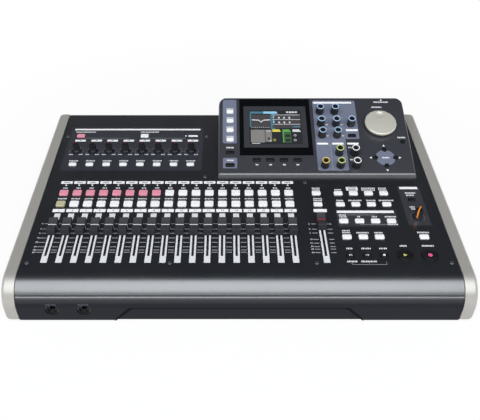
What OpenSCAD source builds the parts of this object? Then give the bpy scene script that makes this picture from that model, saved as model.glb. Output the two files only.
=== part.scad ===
// Desktop digital multitrack recorder.
// Millimetres, +Z up, -Y is the player's side, origin under the middle of the case on the table.
// Panel features are placed by x and by s, the distance up the sloping panel from its front edge.
// Pod features are placed by u, from the pod's left edge, and v, up the pod's slope from its lip.

/* [Case] */
// Width over the side cheeks
case_w = 514; // [512:1:540]
// Depth from the nose to the rear edge
case_d = 340; // [338:1:350]
// Height of the rubber feet
feet_h = 2.5; // [1.5:0.5:6]
// Diameter of a foot
feet_dia = 16; // [10:1:24]
// Distance of the feet from the case's ends and sides
feet_inset = 42; // [24:1:60]
// Height of the front roll's axis above the table
axis_z = 22.4; // [21:0.2:28]
// Outer radius of the panel's roll over the front edge
roll_r = 28; // [26:0.5:30]
// Slope of the panel in degrees
panel_tilt = 2.2; // [1.5:0.1:3.5]
// Thickness of the panel and of the front apron
panel_t = 2.2; // [1.6:0.1:2.6]
// Angle of the front seam above the roll's axis
seam_angle = 35; // [26:1:40]
// Width of the front seam
seam_gap = 0.5; // [0.3:0.1:1]
// Radius of the apron's upper edge under the seam
apron_edge_r = 3; // [2:0.5:4]
// Thickness of the folded base tray
tray_t = 1.5; // [1:0.1:2]
// How far the rear panel is set in from the rear edge
rear_recess = 2; // [1.8:0.1:4]
// Thickness of the rear panel
rear_t = 1.5; // [1:0.1:2]

/* [Side cheeks] */
// Width of a side cheek
cheek_w = 14.3; // [12:0.1:14.6]
// How far a cheek stands proud of the panel
cheek_proud = 1.2; // [0.4:0.1:2]
// Gap between a cheek and the panel's edge
cheek_gap = 0.4; // [0.2:0.1:0.8]
// Plan radius of a cheek's outer corner at the rear
cheek_corner = 8; // [4:0.5:10]
// Plan radius of a cheek's outer corner at the nose
cheek_nose = 4; // [2:0.5:6]
// Wall of a cheek
cheek_wall = 3; // [2:0.1:4]

/* [Front apron] */
// Half width of the undercut at its upper edge
undercut_top = 121; // [90:1:130]
// Half width of the undercut at the bottom
undercut_bottom = 138; // [132:1:148]
// Height of the undercut's upper edge above the table
undercut_z = 23; // [18:0.5:26]
// Depth of the undercut
undercut_depth = 1.2; // [0.6:0.1:1.4]
// Diameter of a front jack's well
front_jack_dia = 15; // [13:0.5:17]
// Height of the front jacks above the table
front_jack_z = 18.5; // [16:0.5:21]
// Place of the first front jack across the case
front_jack_x = -204.6; // [-215:0.1:-195]
// Spacing of the two front jacks
front_jack_pitch = 35; // [24:0.5:45]

/* [Channels] */
// Place of the first channel across the case
channel_x = -217.3; // [-219:0.1:-215]
// Spacing of the channels
channel_pitch = 16.5; // [16:0.1:16.8]
// Place of the master strip across the case
master_x = 97.5; // [92:0.1:102]
// Row of the record arm keys
arm_s = 163; // [160:0.5:166]
// Row of the select keys
select_s = 142; // [138:0.5:144]
// Length of a channel key along the panel
channel_key_l = 10; // [7:0.1:11]

/* [Faders] */
// Middle of the fader travel
fader_s = 82.1; // [81:0.1:84]
// Travel of a fader
fader_travel = 47.6; // [40:0.1:50]
// Where the channel faders rest, from the middle of the travel
fader_rest = 14.9; // [0:0.1:18]
// Length of a fader cap
cap_l = 22.5; // [16:0.5:23]
// Width of a fader cap
cap_w = 10.4; // [8:0.1:11]
// Height of a fader cap's ends above the panel
cap_h = 9.6; // [7:0.1:12]
// Depth of the finger dish in a cap
cap_dish = 1.6; // [0.5:0.1:2]
// Length of the flat ridge at each end of a cap
cap_ridge = 2.5; // [1:0.1:4]
// Width of a fader slot
slot_w = 2.8; // [2:0.1:3]
// How far a slot runs past the travel at each end
slot_end = 5.3; // [4:0.1:6]
// Thickness of a fader lever
lever_t = 1.2; // [0.8:0.1:1.4]
// Length of a fader lever along the slot
lever_l = 4; // [3:0.1:6]
// Height of a fader unit under the panel
fader_unit_h = 8; // [7:0.1:9]
// Width of a fader unit
fader_unit_w = 9; // [7:0.1:11]

/* [Knobs] */
// Place of the first trim knob across the case
trim_x = -217.2; // [-222:0.1:-212]
// Spacing of the trim knobs
trim_pitch = 22.16; // [21:0.01:22.4]
// Row of the trim knobs
trim_s = 252; // [248:0.5:256]
// Skirt diameter of a trim knob
trim_dia = 13.5; // [11:0.1:15]
// Top diameter of a trim knob
trim_top = 8.3; // [7.6:0.1:11]
// Height of a trim knob
trim_h = 11.5; // [8:0.1:13]
// Place of the phones knob across the case
phones_x = 214.3; // [211:0.1:217]
// Row of the phones knob
phones_s = 118; // [114:0.5:122]
// Skirt diameter of the phones knob
phones_dia = 11.8; // [11:0.1:16]
// Top diameter of the phones knob
phones_top = 9.2; // [8:0.1:12]
// Height of the phones knob
phones_h = 13.5; // [8:0.1:15]
// How far the phones knob is turned clockwise at rest, in degrees
phones_turn = 27; // [-120:1:120]
// Diameter of an encoder knob
encoder_dia = 11; // [9:0.1:13]
// Height of an encoder knob
encoder_h = 13.5; // [10:0.1:15]
// Diameter of the shafts
shaft_dia = 6; // [4:0.1:6.4]
// Radial clearance round a shaft in its hole
shaft_gap = 0.35; // [0.3:0.05:0.6]
// Height of a potentiometer or encoder body
pot_h = 6; // [5:0.1:7]
// Width of a potentiometer or encoder body
pot_w = 10; // [9:0.1:12]

/* [Keys] */
// Width of a key
key_w = 10.8; // [8:0.1:12]
// Length of a small key along the panel
key_l = 7; // [5:0.1:8]
// Height of a key above the panel
key_h = 1.5; // [1.2:0.1:2.5]
// Corner radius of a key
key_corner = 1.4; // [0.6:0.1:2]
// Clearance round a key in its hole
key_gap = 0.3; // [0.3:0.05:0.5]
// Travel of a key
key_travel = 0.8; // [0.4:0.1:1]
// Width of the flange that keeps a key in
key_flange = 0.8; // [0.5:0.1:1]
// Thickness of that flange
flange_t = 1; // [0.8:0.1:1.2]
// Row of the source keys
source_s = 221.7; // [218:0.1:226]
// Row of the phantom keys
phantom_s = 287; // [284:0.5:292]
// Place of the first command column across the case
command_x = 124.9; // [122:0.1:128]
// Spacing of the command columns
command_pitch = 18.9; // [17:0.1:19.4]
// Place of the right hand column across the case
right_x = 214.2; // [212:0.1:216]
// Rows of command keys, from the front: fourth row, locate row, second row, first row
command_rows = [83.5, 110.8, 141.1, 162.1];
// Row of the monitor key
monitor_s = 150; // [146:0.5:154]
// Row of the transport keys
transport_s = 54; // [52:0.5:57]
// Diameter of a small transport key
transport_dia = 10; // [8:0.1:12]
// Diameter of the play and record keys
play_dia = 18.5; // [15:0.1:21]
// Place of the play key across the case
play_x = 186.5; // [185:0.1:190]

/* [Pod] */
// Place of the pod's left side across the case
pod_x = -25.2; // [-28:0.1:-24]
// Width of the pod
pod_w = 254.6; // [253:0.1:257]
// Row of the pod's front lip
pod_s = 193.7; // [192:0.1:196]
// Height of the lip above the panel
pod_lip_h = 4.5; // [4:0.1:6]
// How far the lip's face leans back
pod_lip_lean = 2; // [1:0.1:3]
// Length of the pod's top up its slope
pod_len = 132; // [130:0.5:134]
// Slope of the pod's top in degrees
pod_tilt = 18; // [16:0.5:20]
// Thickness of the pod's top
pod_t = 3; // [2.4:0.1:3.4]
// Thickness of the pod's side and rear walls
pod_wall = 4; // [3.6:0.1:5]
// Radius of the pod's rear corners, in the plane of its top
pod_corner = 15; // [8:0.5:16]
// Radius of the pod's side and rear edges
pod_edge_r = 3; // [2:0.5:3.5]
// Radius of the edge over the pod's lip
pod_lip_r = 4; // [1:0.5:5]
// How far the pod's rear wall leans back
pod_rear_lean = 14; // [8:0.5:16]

/* [Display] */
// Width of the display window
window_w = 96.6; // [92:0.1:98]
// Length of the display window up the slope
window_l = 98.5; // [94:0.1:99]
// Thickness of the display window
window_t = 1.6; // [1:0.1:2]
// Place of the window's left edge on the pod
window_u = 28.2; // [27:0.1:29]
// Place of the window's front edge on the pod
window_v = 30; // [29:0.1:30.5]
// Width of the opening for the LCD
lcd_w = 82.2; // [78:0.1:86]
// Length of the opening for the LCD
lcd_l = 72.2; // [68:0.1:76]
// Margin of the LCD module behind its opening
lcd_margin = 3; // [2:0.1:4]
// Thickness of the LCD module
lcd_t = 5; // [3:0.1:5.6]

/* [Jog wheel] */
// Diameter of the jog wheel
jog_dia = 42.4; // [38:0.1:44]
// Height of the jog wheel above the pod
jog_h = 7.5; // [6:0.1:10]
// Place of the jog wheel on the pod, from its left edge
jog_u = 217.8; // [216:0.1:219]
// Place of the jog wheel up the pod's slope
jog_v = 81.3; // [79:0.1:84]
// Diameter of the finger dimple
dimple_dia = 12.5; // [8:0.1:13]
// Depth of the finger dimple
dimple_depth = 2; // [1:0.1:2.4]

/* [Rear sockets] */
// Height of the sockets above the table
socket_z = 33; // [30:0.5:36]
// Spacing of the input sockets
input_pitch = 28; // [27:0.1:29]
// Place of the first input socket across the case
input_x = -219; // [-221:0.1:-217]
// Diameter of an input socket's well
input_well = 18; // [15:0.5:19]
// Bore of a jack socket
jack_bore = 6.6; // [6.5:0.1:7]

/* [Hidden] */
$fn = 64;
BIG = 900;
INPUTS = 8;
CHANNELS = 18;
// Facets of the pod's round edges
EDGE_STEPS = 8;
// Clearances: a knob on its shaft, a barrel in its hole, a cap or knob over the panel
seat = 0.05;
fit = 0.2;
hover = 0.8;

// Sizes that the places below are drawn for; the places spread with the chosen size
drawn_w = 514;
drawn_pod_w = 254.6;
drawn_pod_l = 132;
function across(x) = x * case_w / drawn_w;

rear_y = case_d / 2;
roll_y = -rear_y + roll_r + cheek_proud;
inner_w = case_w - 2 * cheek_w;
panel_w = inner_w - 2 * cheek_gap;
rear_face = rear_y - rear_recess;
tray_top = feet_h + tray_t;

// Depth below the panel of the board, of the keys and of their switches
board_t = 1.6;
board_n = panel_t + fader_unit_h;
board_edge = 8;
board_front_s = 38;
pod_board_n = pod_t + pot_h;
switch_w = 6;
// Main board on its posts: size, middle and post
main_board = [0.8 * inner_w, case_d / 2];
main_board_y = 0.12 * case_d;
post_h = 8;
post_dia = 7;

slot_l = fader_travel + 2 * slot_end;
fader_unit_l = slot_l + 8;
channels = [for (i = [0:CHANNELS - 1]) across(channel_x + i * channel_pitch)];
trims = [for (i = [0:INPUTS - 1]) across(trim_x + i * trim_pitch)];
command_cols = [for (i = [0:3]) across(command_x + i * command_pitch)];
master_at = across(master_x);
right_at = across(right_x);
phones_at = across(phones_x);

// Pod place and width, and how far its own places are stretched
pod_left = across(pod_x);
pod_width = across(pod_w);
stretch_u = pod_width / drawn_pod_w;
stretch_v = pod_len / drawn_pod_l;
window = [window_w * stretch_u, window_l * stretch_v];
lcd = [lcd_w * stretch_u, lcd_l * stretch_v];
lcd_shift = 1.8;
// Pod slope against the panel, and its outline in the panel's plane of s and height
pod_rise = pod_tilt - panel_tilt;
pod_rim = pod_lip_lean + 3;
pod_top_s = pod_s + pod_lip_lean + pod_len * cos(pod_rise);
pod_top_h = pod_lip_h + pod_len * sin(pod_rise);
pod_rear_s = pod_top_s + pod_rear_lean;
pod_rear_wall = 1.5 * pod_wall;

// Encoder places on the pod
encoder_u = [138, 158.1, 178.4];
encoder_v = [12.5, 32.9, 63, 82.4, 103.9];
// Column and row of each encoder: seven equaliser knobs, then the yellow, green and white ones
encoder_at = [[0, 4], [1, 4], [0, 3], [1, 3], [2, 3], [0, 2], [1, 2],
              [0, 0], [1, 1], [1, 0], [2, 1], [2, 0]];
function encoder_place(i) = [encoder_u[encoder_at[i][0]], encoder_v[encoder_at[i][1]]];

// Key places: [x, s, width, length] on the panel, [u, v, width, length] on the pod
input_key_list = concat(
    [for (i = [0, 4]) [trims[i], phantom_s, key_w, key_l]],
    [for (x = trims) [x, source_s, key_w - 1, key_l - 1.2]]);
channel_key_list = concat(
    [for (x = channels, s = [arm_s, select_s]) [x, s, key_w, channel_key_l]],
    [for (s = [command_rows[2], command_rows[3]]) [master_at, s, key_w, key_l]]);
command_key_list = concat(
    [for (row = [1:3], x = command_cols) [x, command_rows[row], key_w, key_l]],
    [for (i = [0:2]) [command_cols[i], command_rows[0], key_w, key_l]],
    [[right_at, command_rows[0], key_w, key_l], [right_at, monitor_s, key_w - 2, key_l - 2]]);
transport_list = concat(
    [for (i = [0:2]) [command_cols[i], transport_s, transport_dia]],
    [[across(play_x), transport_s, play_dia], [right_at, transport_s, play_dia]]);
// Pod keys: a column of four, the menu and home keys below it, the equaliser key, the function keys
column_u = 15.5;
column_v = 56.3;
column_pitch = 16.3;
column_key = [9.5, 6];
menu_v = 34.5;
home_v = 14;
home_key = [11.5, 5.5];
equaliser_v = 63.1;
function_u = 50.3;
function_v = 22.5;
function_pitch = 17.63;
bar_key = [10.5, 5];
pod_key_list = concat(
    [for (i = [0:3]) concat([column_u, column_v + column_pitch * i], column_key)],
    [concat([column_u, menu_v], bar_key), concat([column_u, home_v], home_key),
     concat([encoder_u[2], equaliser_v], bar_key)],
    [for (i = [0:3]) concat([function_u + function_pitch * i, function_v], bar_key)]);
cursor_u = 218.4;
cursor_v = 26.3;
cursor_arm = 13;
cursor_dia = 6;
return_at = [244.4, 52.6];
pod_round_list = concat(
    [for (a = [0:90:270]) [cursor_u + cursor_arm * cos(a), cursor_v + cursor_arm * sin(a), cursor_dia]],
    [concat(return_at, [cursor_dia])]);

screw_places = [[-235.5, 42], [-77, 42], [86, 42], [235.5, 42], [-235.5, 285], [-42, 285], [-42, 195],
                [85.5, 184]];
screw_list = [for (p = screw_places) [across(p[0]), p[1]]];
screw_dia = 4.2;
screw_h = 0.8;
shank_dia = 2.6;

// Rear sockets: the inputs, then jacks, five pin sockets, a data port and the power inlet
input_barrel = input_well + 4;
input_flange = across(input_pitch) - 2;
input_depth = 28;
input_well_depth = 13;
jack_nose = jack_bore + 2.4;
jack_nut = jack_nose + 4;
jack_depth = 24;
jack_pitch = 20;
// Front jacks: where the cup starts, from the apron's inner face, and its depth
cup_out = -0.4;
cup_depth = 4;
din_well = 13.6;
din_barrel = din_well + 2;
din_flange = 20;
data_size = [12, 11];
data_port = [9, 8];
inlet_nose = jack_nose;
inlet_flange = 12;
short_depth = 14;
flange_depth = 1.6;
inputs = [for (i = [0:INPUTS - 1]) across(input_x + i * input_pitch)];
jacks = [for (i = [0:4]) across(input_x + INPUTS * input_pitch + i * jack_pitch)];
din_places = [118, 143];
din_list = [for (x = din_places) across(x)];
data_x = 166;
inlet_x = 226;
standby_x = 202;
standby_size = [10, 6];
standby_travel = 1.5;
standby_depth = 8;

// Frames and small helpers

// Extrudes an outline of Y and Z along +X
module along_x(w) {
    rotate([90, 0, 90]) linear_extrude(w) children();
}

// Children stand on the panel's surface at x, s
module on_panel(x, s) {
    translate([0, roll_y, axis_z]) rotate([panel_tilt, 0, 0]) translate([x, s - roll_r, roll_r]) children();
}

// Children stand on the pod's surface at u, v
module on_pod(u, v) {
    on_panel(pod_left, pod_s + pod_lip_lean) translate([0, 0, pod_lip_h]) rotate([pod_rise, 0, 0])
        translate([u * stretch_u, v * stretch_v, 0]) children();
}

// Side outline of the case, grown outwards, lifted off the bottom and held in from the rear
module side_outline(grow, lift = 0, back = 0) {
    intersection() {
        translate([roll_y, axis_z]) rotate(panel_tilt) union() {
            circle(roll_r + grow);
            translate([0, -BIG]) square([BIG, BIG + roll_r + grow]);
            translate([-roll_r - grow, -BIG]) square([roll_r + grow + 1, BIG]);
        }
        translate([-BIG, feet_h + lift]) square([BIG + rear_y - back, BIG]);
    }
}

// What lies above the seam, and what lies below it in front of the roll's axis, round at its upper edge
module above_seam() {
    translate([roll_y, axis_z]) rotate(panel_tilt)
        polygon([[0, 0], [-BIG * cos(seam_angle), BIG * sin(seam_angle)], [0, BIG], [BIG, BIG], [BIG, 0]]);
}

module below_seam() {
    a = seam_angle - seam_gap / roll_r * 180 / PI;
    edge = roll_r * [-cos(a), sin(a)];
    down = edge - BIG * [sin(a), cos(a)];
    translate([roll_y, axis_z]) rotate(panel_tilt)
        polygon(concat([[0, 0]], round_corner([0, 0], edge, down, apron_edge_r), [down, [0, -BIG]]));
}

// Rectangle with round corners about the origin
module rounded(w, l, r) {
    square([w - 2 * r, l], center = true);
    square([w, l - 2 * r], center = true);
    for (x = [-1, 1], y = [-1, 1]) translate([x * (w / 2 - r), y * (l / 2 - r)]) circle(r);
}

// Cut for a key, through a skin
module key_hole(w, l, skin) {
    translate([0, 0, -skin - 1]) linear_extrude(skin + 2)
        rounded(w + 2 * key_gap, l + 2 * key_gap, key_corner + key_gap);
}

// A key with the flange that keeps it under a skin
module key(w, l, skin) {
    top = skin + key_gap;
    translate([0, 0, -top - flange_t]) linear_extrude(flange_t)
        rounded(w + 2 * key_flange, l + 2 * key_flange, key_corner);
    translate([0, 0, -top]) linear_extrude(top + key_h) rounded(w, l, key_corner);
}

module round_key(dia, skin) {
    top = skin + key_gap;
    translate([0, 0, -top - flange_t]) cylinder(h = flange_t, d = dia + 2 * key_flange);
    translate([0, 0, -top]) cylinder(h = top + key_h, d = dia);
}

// Switch on a board whose face is board_depth under the skin's top
module switch(skin, board_depth) {
    rise = board_depth - skin - key_gap - flange_t - key_travel - 0.1;
    translate([-switch_w / 2, -switch_w / 2, -board_depth]) cube([switch_w, switch_w, rise]);
}

// Hole for a shaft, through a skin
module shaft_hole(skin) {
    translate([0, 0, -skin - 1]) cylinder(h = skin + 2, d = shaft_dia + 2 * shaft_gap);
}

// Potentiometer or encoder body hung under a skin, with room for its shaft
module pot_body(skin) {
    translate([0, 0, -skin - pot_h]) difference() {
        translate([-pot_w / 2, -pot_w / 2, 0]) cube([pot_w, pot_w, pot_h]);
        translate([0, 0, 1]) cylinder(h = pot_h, d = shaft_dia + 2 * shaft_gap);
    }
}

// Shaft that turns in a pot body and ends inside a knob
module shaft(skin, reach) {
    foot = -skin - pot_h + 1.3;
    translate([0, 0, foot]) cylinder(h = reach - seat - foot, d = shaft_dia);
}

// Round knob with a skirt, a tapered side and a pointer groove
module pointer_knob(dia, top, h) {
    bore_h = h - 2.5;
    difference() {
        union() {
            translate([0, 0, hover]) cylinder(h = 1.8, d = dia);
            translate([0, 0, hover + 1.8]) cylinder(h = h - hover - 1.8, d1 = dia - 1.2, d2 = top);
        }
        translate([0, 0, hover - 1]) cylinder(h = bore_h - hover + 1, d = shaft_dia + 2 * seat);
        translate([-0.5, 1, h - 0.6]) cube([1, dia, 2]);
    }
    shaft(panel_t, bore_h);
}

// Bottom structure

module base_tray() {
    color("dimgray") {
        for (x = [-inner_w / 2, inner_w / 2 - tray_t])
            translate([x, 0, 0]) along_x(tray_t) side_outline(-panel_t, 0, rear_recess);
        translate([-inner_w / 2, 0, 0]) along_x(inner_w) intersection() {
            side_outline(-panel_t, 0, rear_recess);
            translate([-BIG, feet_h]) square([2 * BIG, tray_t]);
        }
        for (x = [-1, 0, 1], y = [-1, 1])
            translate([x * main_board[0] * 0.45, y * main_board[1] * 0.42 + main_board_y, tray_top - seat])
                cylinder(h = post_h + seat, d = post_dia);
    }
}

module feet() {
    color("black") for (x = [-1, 1], y = [-1, 1])
        translate([x * (case_w / 2 - feet_inset), y * (rear_y - feet_inset), 0])
            cylinder(h = feet_h, d = feet_dia);
}

module rear_hole(x, d) {
    translate([x, rear_face - rear_t - 1, socket_z]) rotate([-90, 0, 0]) cylinder(h = rear_t + 2, d = d);
}

module rear_panel() {
    color("#2b2c30") difference() {
        w = inner_w - 2 * tray_t;
        translate([-w / 2, 0, 0]) along_x(w) intersection() {
            side_outline(-panel_t, tray_t, rear_recess);
            translate([rear_face - rear_t, 0]) square([rear_t, BIG]);
        }
        for (x = inputs) rear_hole(x, input_barrel + 2 * fit);
        for (x = jacks) rear_hole(x, jack_nose + 2 * fit);
        for (x = din_list) rear_hole(x, din_barrel + 2 * fit);
        rear_hole(across(inlet_x), inlet_nose + 2 * fit);
        rear_slot(across(data_x), data_size + [2 * fit, 2 * fit]);
        rear_slot(across(standby_x), standby_size + [2 * key_gap, 2 * key_gap]);
    }
}

module rear_slot(x, size) {
    translate([x - size[0] / 2, rear_face - rear_t - 1, socket_z - size[1] / 2])
        cube([size[0], rear_t + 2, size[1]]);
}

// Outer skins

module top_panel() {
    color("#34353b") difference() {
        translate([-panel_w / 2, 0, 0]) along_x(panel_w) intersection() {
            difference() {
                side_outline(0);
                side_outline(-panel_t);
            }
            above_seam();
        }
        for (k = concat(input_key_list, channel_key_list, command_key_list))
            on_panel(k[0], k[1]) key_hole(k[2], k[3], panel_t);
        for (k = transport_list) on_panel(k[0], k[1]) translate([0, 0, -panel_t - 1])
            cylinder(h = panel_t + 2, d = k[2] + 2 * key_gap);
        for (x = concat(channels, [master_at])) on_panel(x, fader_s) fader_slot();
        for (x = trims) on_panel(x, trim_s) shaft_hole(panel_t);
        on_panel(phones_at, phones_s) shaft_hole(panel_t);
        for (p = screw_list) on_panel(p[0], p[1]) translate([0, 0, -panel_t - 1])
            cylinder(h = panel_t + 2, d = shank_dia + 2 * fit);
        intersection() {
            on_panel(pod_left + pod_wall, pod_s + pod_rim) translate([0, 0, -panel_t - 1])
                cube([pod_width - 2 * pod_wall, pod_rear_s - pod_s - pod_rim - pod_rear_wall, panel_t + 2]);
            pod_prism(pod_wall);
        }
    }
}

module fader_slot() {
    translate([-slot_w / 2, -slot_l / 2, -panel_t - 1]) cube([slot_w, slot_l, panel_t + 2]);
}

module front_apron() {
    color("#2e2f35") difference() {
        translate([-panel_w / 2, 0, 0]) along_x(panel_w) intersection() {
            difference() {
                side_outline(0);
                side_outline(-panel_t);
            }
            below_seam();
        }
        intersection() {
            translate([0, roll_y, 0]) rotate([90, 0, 0]) linear_extrude(BIG)
                polygon([for (p = [[-undercut_bottom, 0], [undercut_bottom, 0], [undercut_bottom, feet_h],
                                   [undercut_top, undercut_z], [-undercut_top, undercut_z],
                                   [-undercut_bottom, feet_h]]) [across(p[0]), p[1]]]);
            translate([-case_w / 2, 0, 0]) along_x(case_w) difference() {
                side_outline(1, -1);
                side_outline(-undercut_depth, -1);
            }
        }
        for (i = [0, 1]) translate([across(front_jack_x + i * front_jack_pitch), roll_y, front_jack_z])
            rotate([90, 0, 0]) cylinder(h = BIG, d = front_jack_dia);
    }
}

module side_cheeks() {
    color("#a6a4a2") for (side = [0, 1]) mirror([side, 0, 0]) translate([inner_w / 2, 0, 0]) difference() {
        intersection() {
            along_x(cheek_w) side_outline(cheek_proud);
            linear_extrude(BIG) cheek_plan();
        }
        translate([-1, 0, 0]) along_x(cheek_w - cheek_wall + 1)
            side_outline(cheek_proud - cheek_wall, cheek_wall, cheek_wall + cheek_corner);
    }
}

// Plan of a cheek: round outer corners, the nose's smaller than the rear's
module cheek_plan() {
    translate([0, -rear_y]) square([cheek_w - cheek_nose, rear_y]);
    translate([0, -1]) square([cheek_w - cheek_corner, rear_y + 1]);
    translate([0, cheek_nose - rear_y]) square([cheek_w, case_d - cheek_nose - cheek_corner]);
    translate([cheek_w - cheek_nose, cheek_nose - rear_y]) circle(cheek_nose);
    translate([cheek_w - cheek_corner, rear_y - cheek_corner]) circle(cheek_corner);
}

// Points of the arc of radius r that rounds the corner at b between a and c
function round_corner(a, b, c, r) =
    let (p = (a - b) / norm(a - b), q = (c - b) / norm(c - b), half = acos(p * q) / 2,
         middle = b + (p + q) / norm(p + q) * r / sin(half),
         first = b + p * r / tan(half) - middle, last = b + q * r / tan(half) - middle,
         start = atan2(first[1], first[0]), sweep = atan2(last[1], last[0]) - start,
         turn = sweep > 180 ? sweep - 360 : sweep < -180 ? sweep + 360 : sweep)
    [for (k = [0:EDGE_STEPS]) let (t = start + turn * k / EDGE_STEPS) middle + r * [cos(t), sin(t)]];

// Pod outline in the plane of s and height, round over the lip and at the rear top edge
module pod_outline() {
    foot = [pod_s, 0];
    lip = [pod_s + pod_lip_lean, pod_lip_h];
    top = [pod_top_s, pod_top_h];
    heel = [pod_rear_s, 0];
    polygon(concat([foot], round_corner(foot, lip, top, pod_lip_r), round_corner(lip, top, heel, pod_edge_r),
                   [heel]));
}

// What is left off along the pod's side edges, in the plane of u and height over the top
module pod_edge() {
    polygon(concat([[-1, -pod_edge_r]], round_corner([0, -BIG], [0, 0], [BIG, 0], pod_edge_r),
                   [[pod_edge_r, 1], [-1, 1]]));
}

// Hollow of the pod, open at the bottom, with skin pod_t under its top
module pod_hollow() {
    under = pod_t / cos(pod_rise);
    function under_h(s) = pod_lip_h + (s - pod_s - pod_lip_lean) * tan(pod_rise) - under;
    front = pod_s + pod_rim;
    rear = pod_top_s - pod_wall;
    polygon([[front, -1], [front, under_h(front)], [rear, under_h(rear)], [pod_rear_s - pod_rear_wall, -1]]);
}

// Plan of the pod in the plane of its top, set in from its sides and rear: round corners at the rear
module pod_plan(inset) {
    ahead = 4 * pod_lip_h;
    translate([inset, -ahead]) square([pod_width - 2 * inset, pod_len + ahead - pod_corner]);
    translate([pod_corner, -ahead]) square([pod_width - 2 * pod_corner, pod_len + ahead - inset]);
    for (u = [pod_corner, pod_width - pod_corner]) translate([u, pod_len - pod_corner])
        circle(pod_corner - inset);
}

// That plan as a prism square to the pod's top
module pod_prism(inset) {
    on_pod(0, 0) translate([0, 0, -BIG / 2]) linear_extrude(BIG) pod_plan(inset);
}

module pod_housing() {
    color("#46474d") difference() {
        intersection() {
            on_panel(pod_left, 0) along_x(pod_width) pod_outline();
            pod_prism(0);
        }
        on_pod(0, 0) for (side = [0, 1]) translate([side * pod_width, pod_len + pod_corner, 0])
            mirror([side, 0, 0]) rotate([90, 0, 0]) linear_extrude(pod_len + 3 * pod_corner) pod_edge();
        intersection() {
            on_panel(pod_left + pod_wall, 0) along_x(pod_width - 2 * pod_wall) pod_hollow();
            pod_prism(pod_wall);
        }
        on_pod(window_u, window_v) {
            translate([0, 0, -window_t]) cube([window[0], window[1], window_t + 1]);
            lcd_opening() translate([0, 0, -pod_t - 1]) cube([lcd[0], lcd[1], pod_t + 2]);
        }
        for (k = pod_key_list) on_pod(k[0], k[1]) key_hole(k[2], k[3], pod_t);
        for (k = pod_round_list) on_pod(k[0], k[1]) translate([0, 0, -pod_t - 1])
            cylinder(h = pod_t + 2, d = k[2] + 2 * key_gap);
        for (i = [0:len(encoder_at) - 1])
            on_pod(encoder_place(i)[0], encoder_place(i)[1]) shaft_hole(pod_t);
        on_pod(jog_u, jog_v) shaft_hole(pod_t);
    }
}

// Place of the LCD opening inside the window's recess
module lcd_opening() {
    translate([(window[0] - lcd[0]) / 2 - lcd_shift, (window[1] - lcd[1]) / 2, 0]) children();
}

module display_window() {
    color("#0e0f13") on_pod(window_u, window_v) translate([fit / 2, fit / 2, -window_t])
        cube([window[0] - fit, window[1] - fit, window_t]);
}

module lcd_module() {
    color("#4c5660") on_pod(window_u, window_v) lcd_opening()
        translate([-lcd_margin, -lcd_margin, -pod_t - lcd_t])
            cube([lcd[0] + 2 * lcd_margin, lcd[1] + 2 * lcd_margin, lcd_t]);
}

// Inside

module circuit_boards() {
    color("darkgreen") {
        translate([-main_board[0] / 2, main_board_y - main_board[1] / 2, tray_top + post_h])
            cube([main_board[0], main_board[1], board_t]);
        panel_board(-panel_w / 2 + board_edge, board_front_s, panel_w - 2 * board_edge,
                    arm_s + key_w - board_front_s, concat(channel_key_list, command_key_list, transport_list));
        panel_board(trims[0] - key_w, source_s - key_w, trims[INPUTS - 1] - trims[0] + 2 * key_w,
                    phantom_s - source_s + 2 * key_w, input_key_list);
        on_pod(0, 0) translate([pod_wall + board_edge / 2, board_edge, -pod_board_n - board_t])
            cube([pod_width - 2 * pod_wall - board_edge, pod_len - 2.5 * board_edge, board_t]);
        for (k = concat(pod_key_list, pod_round_list)) on_pod(k[0], k[1]) switch(pod_t, pod_board_n);
    }
}

// Board hung under the fader units, with a switch under each key
module panel_board(x, s, w, l, keys) {
    on_panel(x, s) translate([0, 0, -board_n - board_t]) cube([w, l, board_t]);
    for (k = keys) on_panel(k[0], k[1]) switch(panel_t, board_n);
}

module control_units() {
    color("gray") {
        for (x = concat(channels, [master_at])) on_panel(x, fader_s) fader_unit();
        for (x = trims) on_panel(x, trim_s) pot_body(panel_t);
        on_panel(phones_at, phones_s) pot_body(panel_t);
        for (i = [0:len(encoder_at) - 1])
            on_pod(encoder_place(i)[0], encoder_place(i)[1]) pot_body(pod_t);
        on_pod(jog_u, jog_v) pot_body(pod_t);
    }
}

module fader_unit() {
    translate([0, 0, -board_n]) difference() {
        translate([-fader_unit_w / 2, -fader_unit_l / 2, 0]) cube([fader_unit_w, fader_unit_l, fader_unit_h]);
        translate([-slot_w / 2, -slot_l / 2, 1]) cube([slot_w, slot_l, fader_unit_h]);
    }
}

// Sockets: each has a flange on the rear panel's face, a barrel through it and a well

// Frame on the rear face at x, with +Z pointing out of the case
module on_rear(x) {
    translate([x, rear_face, socket_z]) rotate([-90, 0, 0]) children();
}

module round_socket(barrel, depth, well, well_depth) {
    difference() {
        union() {
            children();
            translate([0, 0, -depth]) cylinder(h = depth, d = barrel);
        }
        translate([0, 0, flange_depth - well_depth]) cylinder(h = well_depth + 1, d = well);
    }
}

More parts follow.
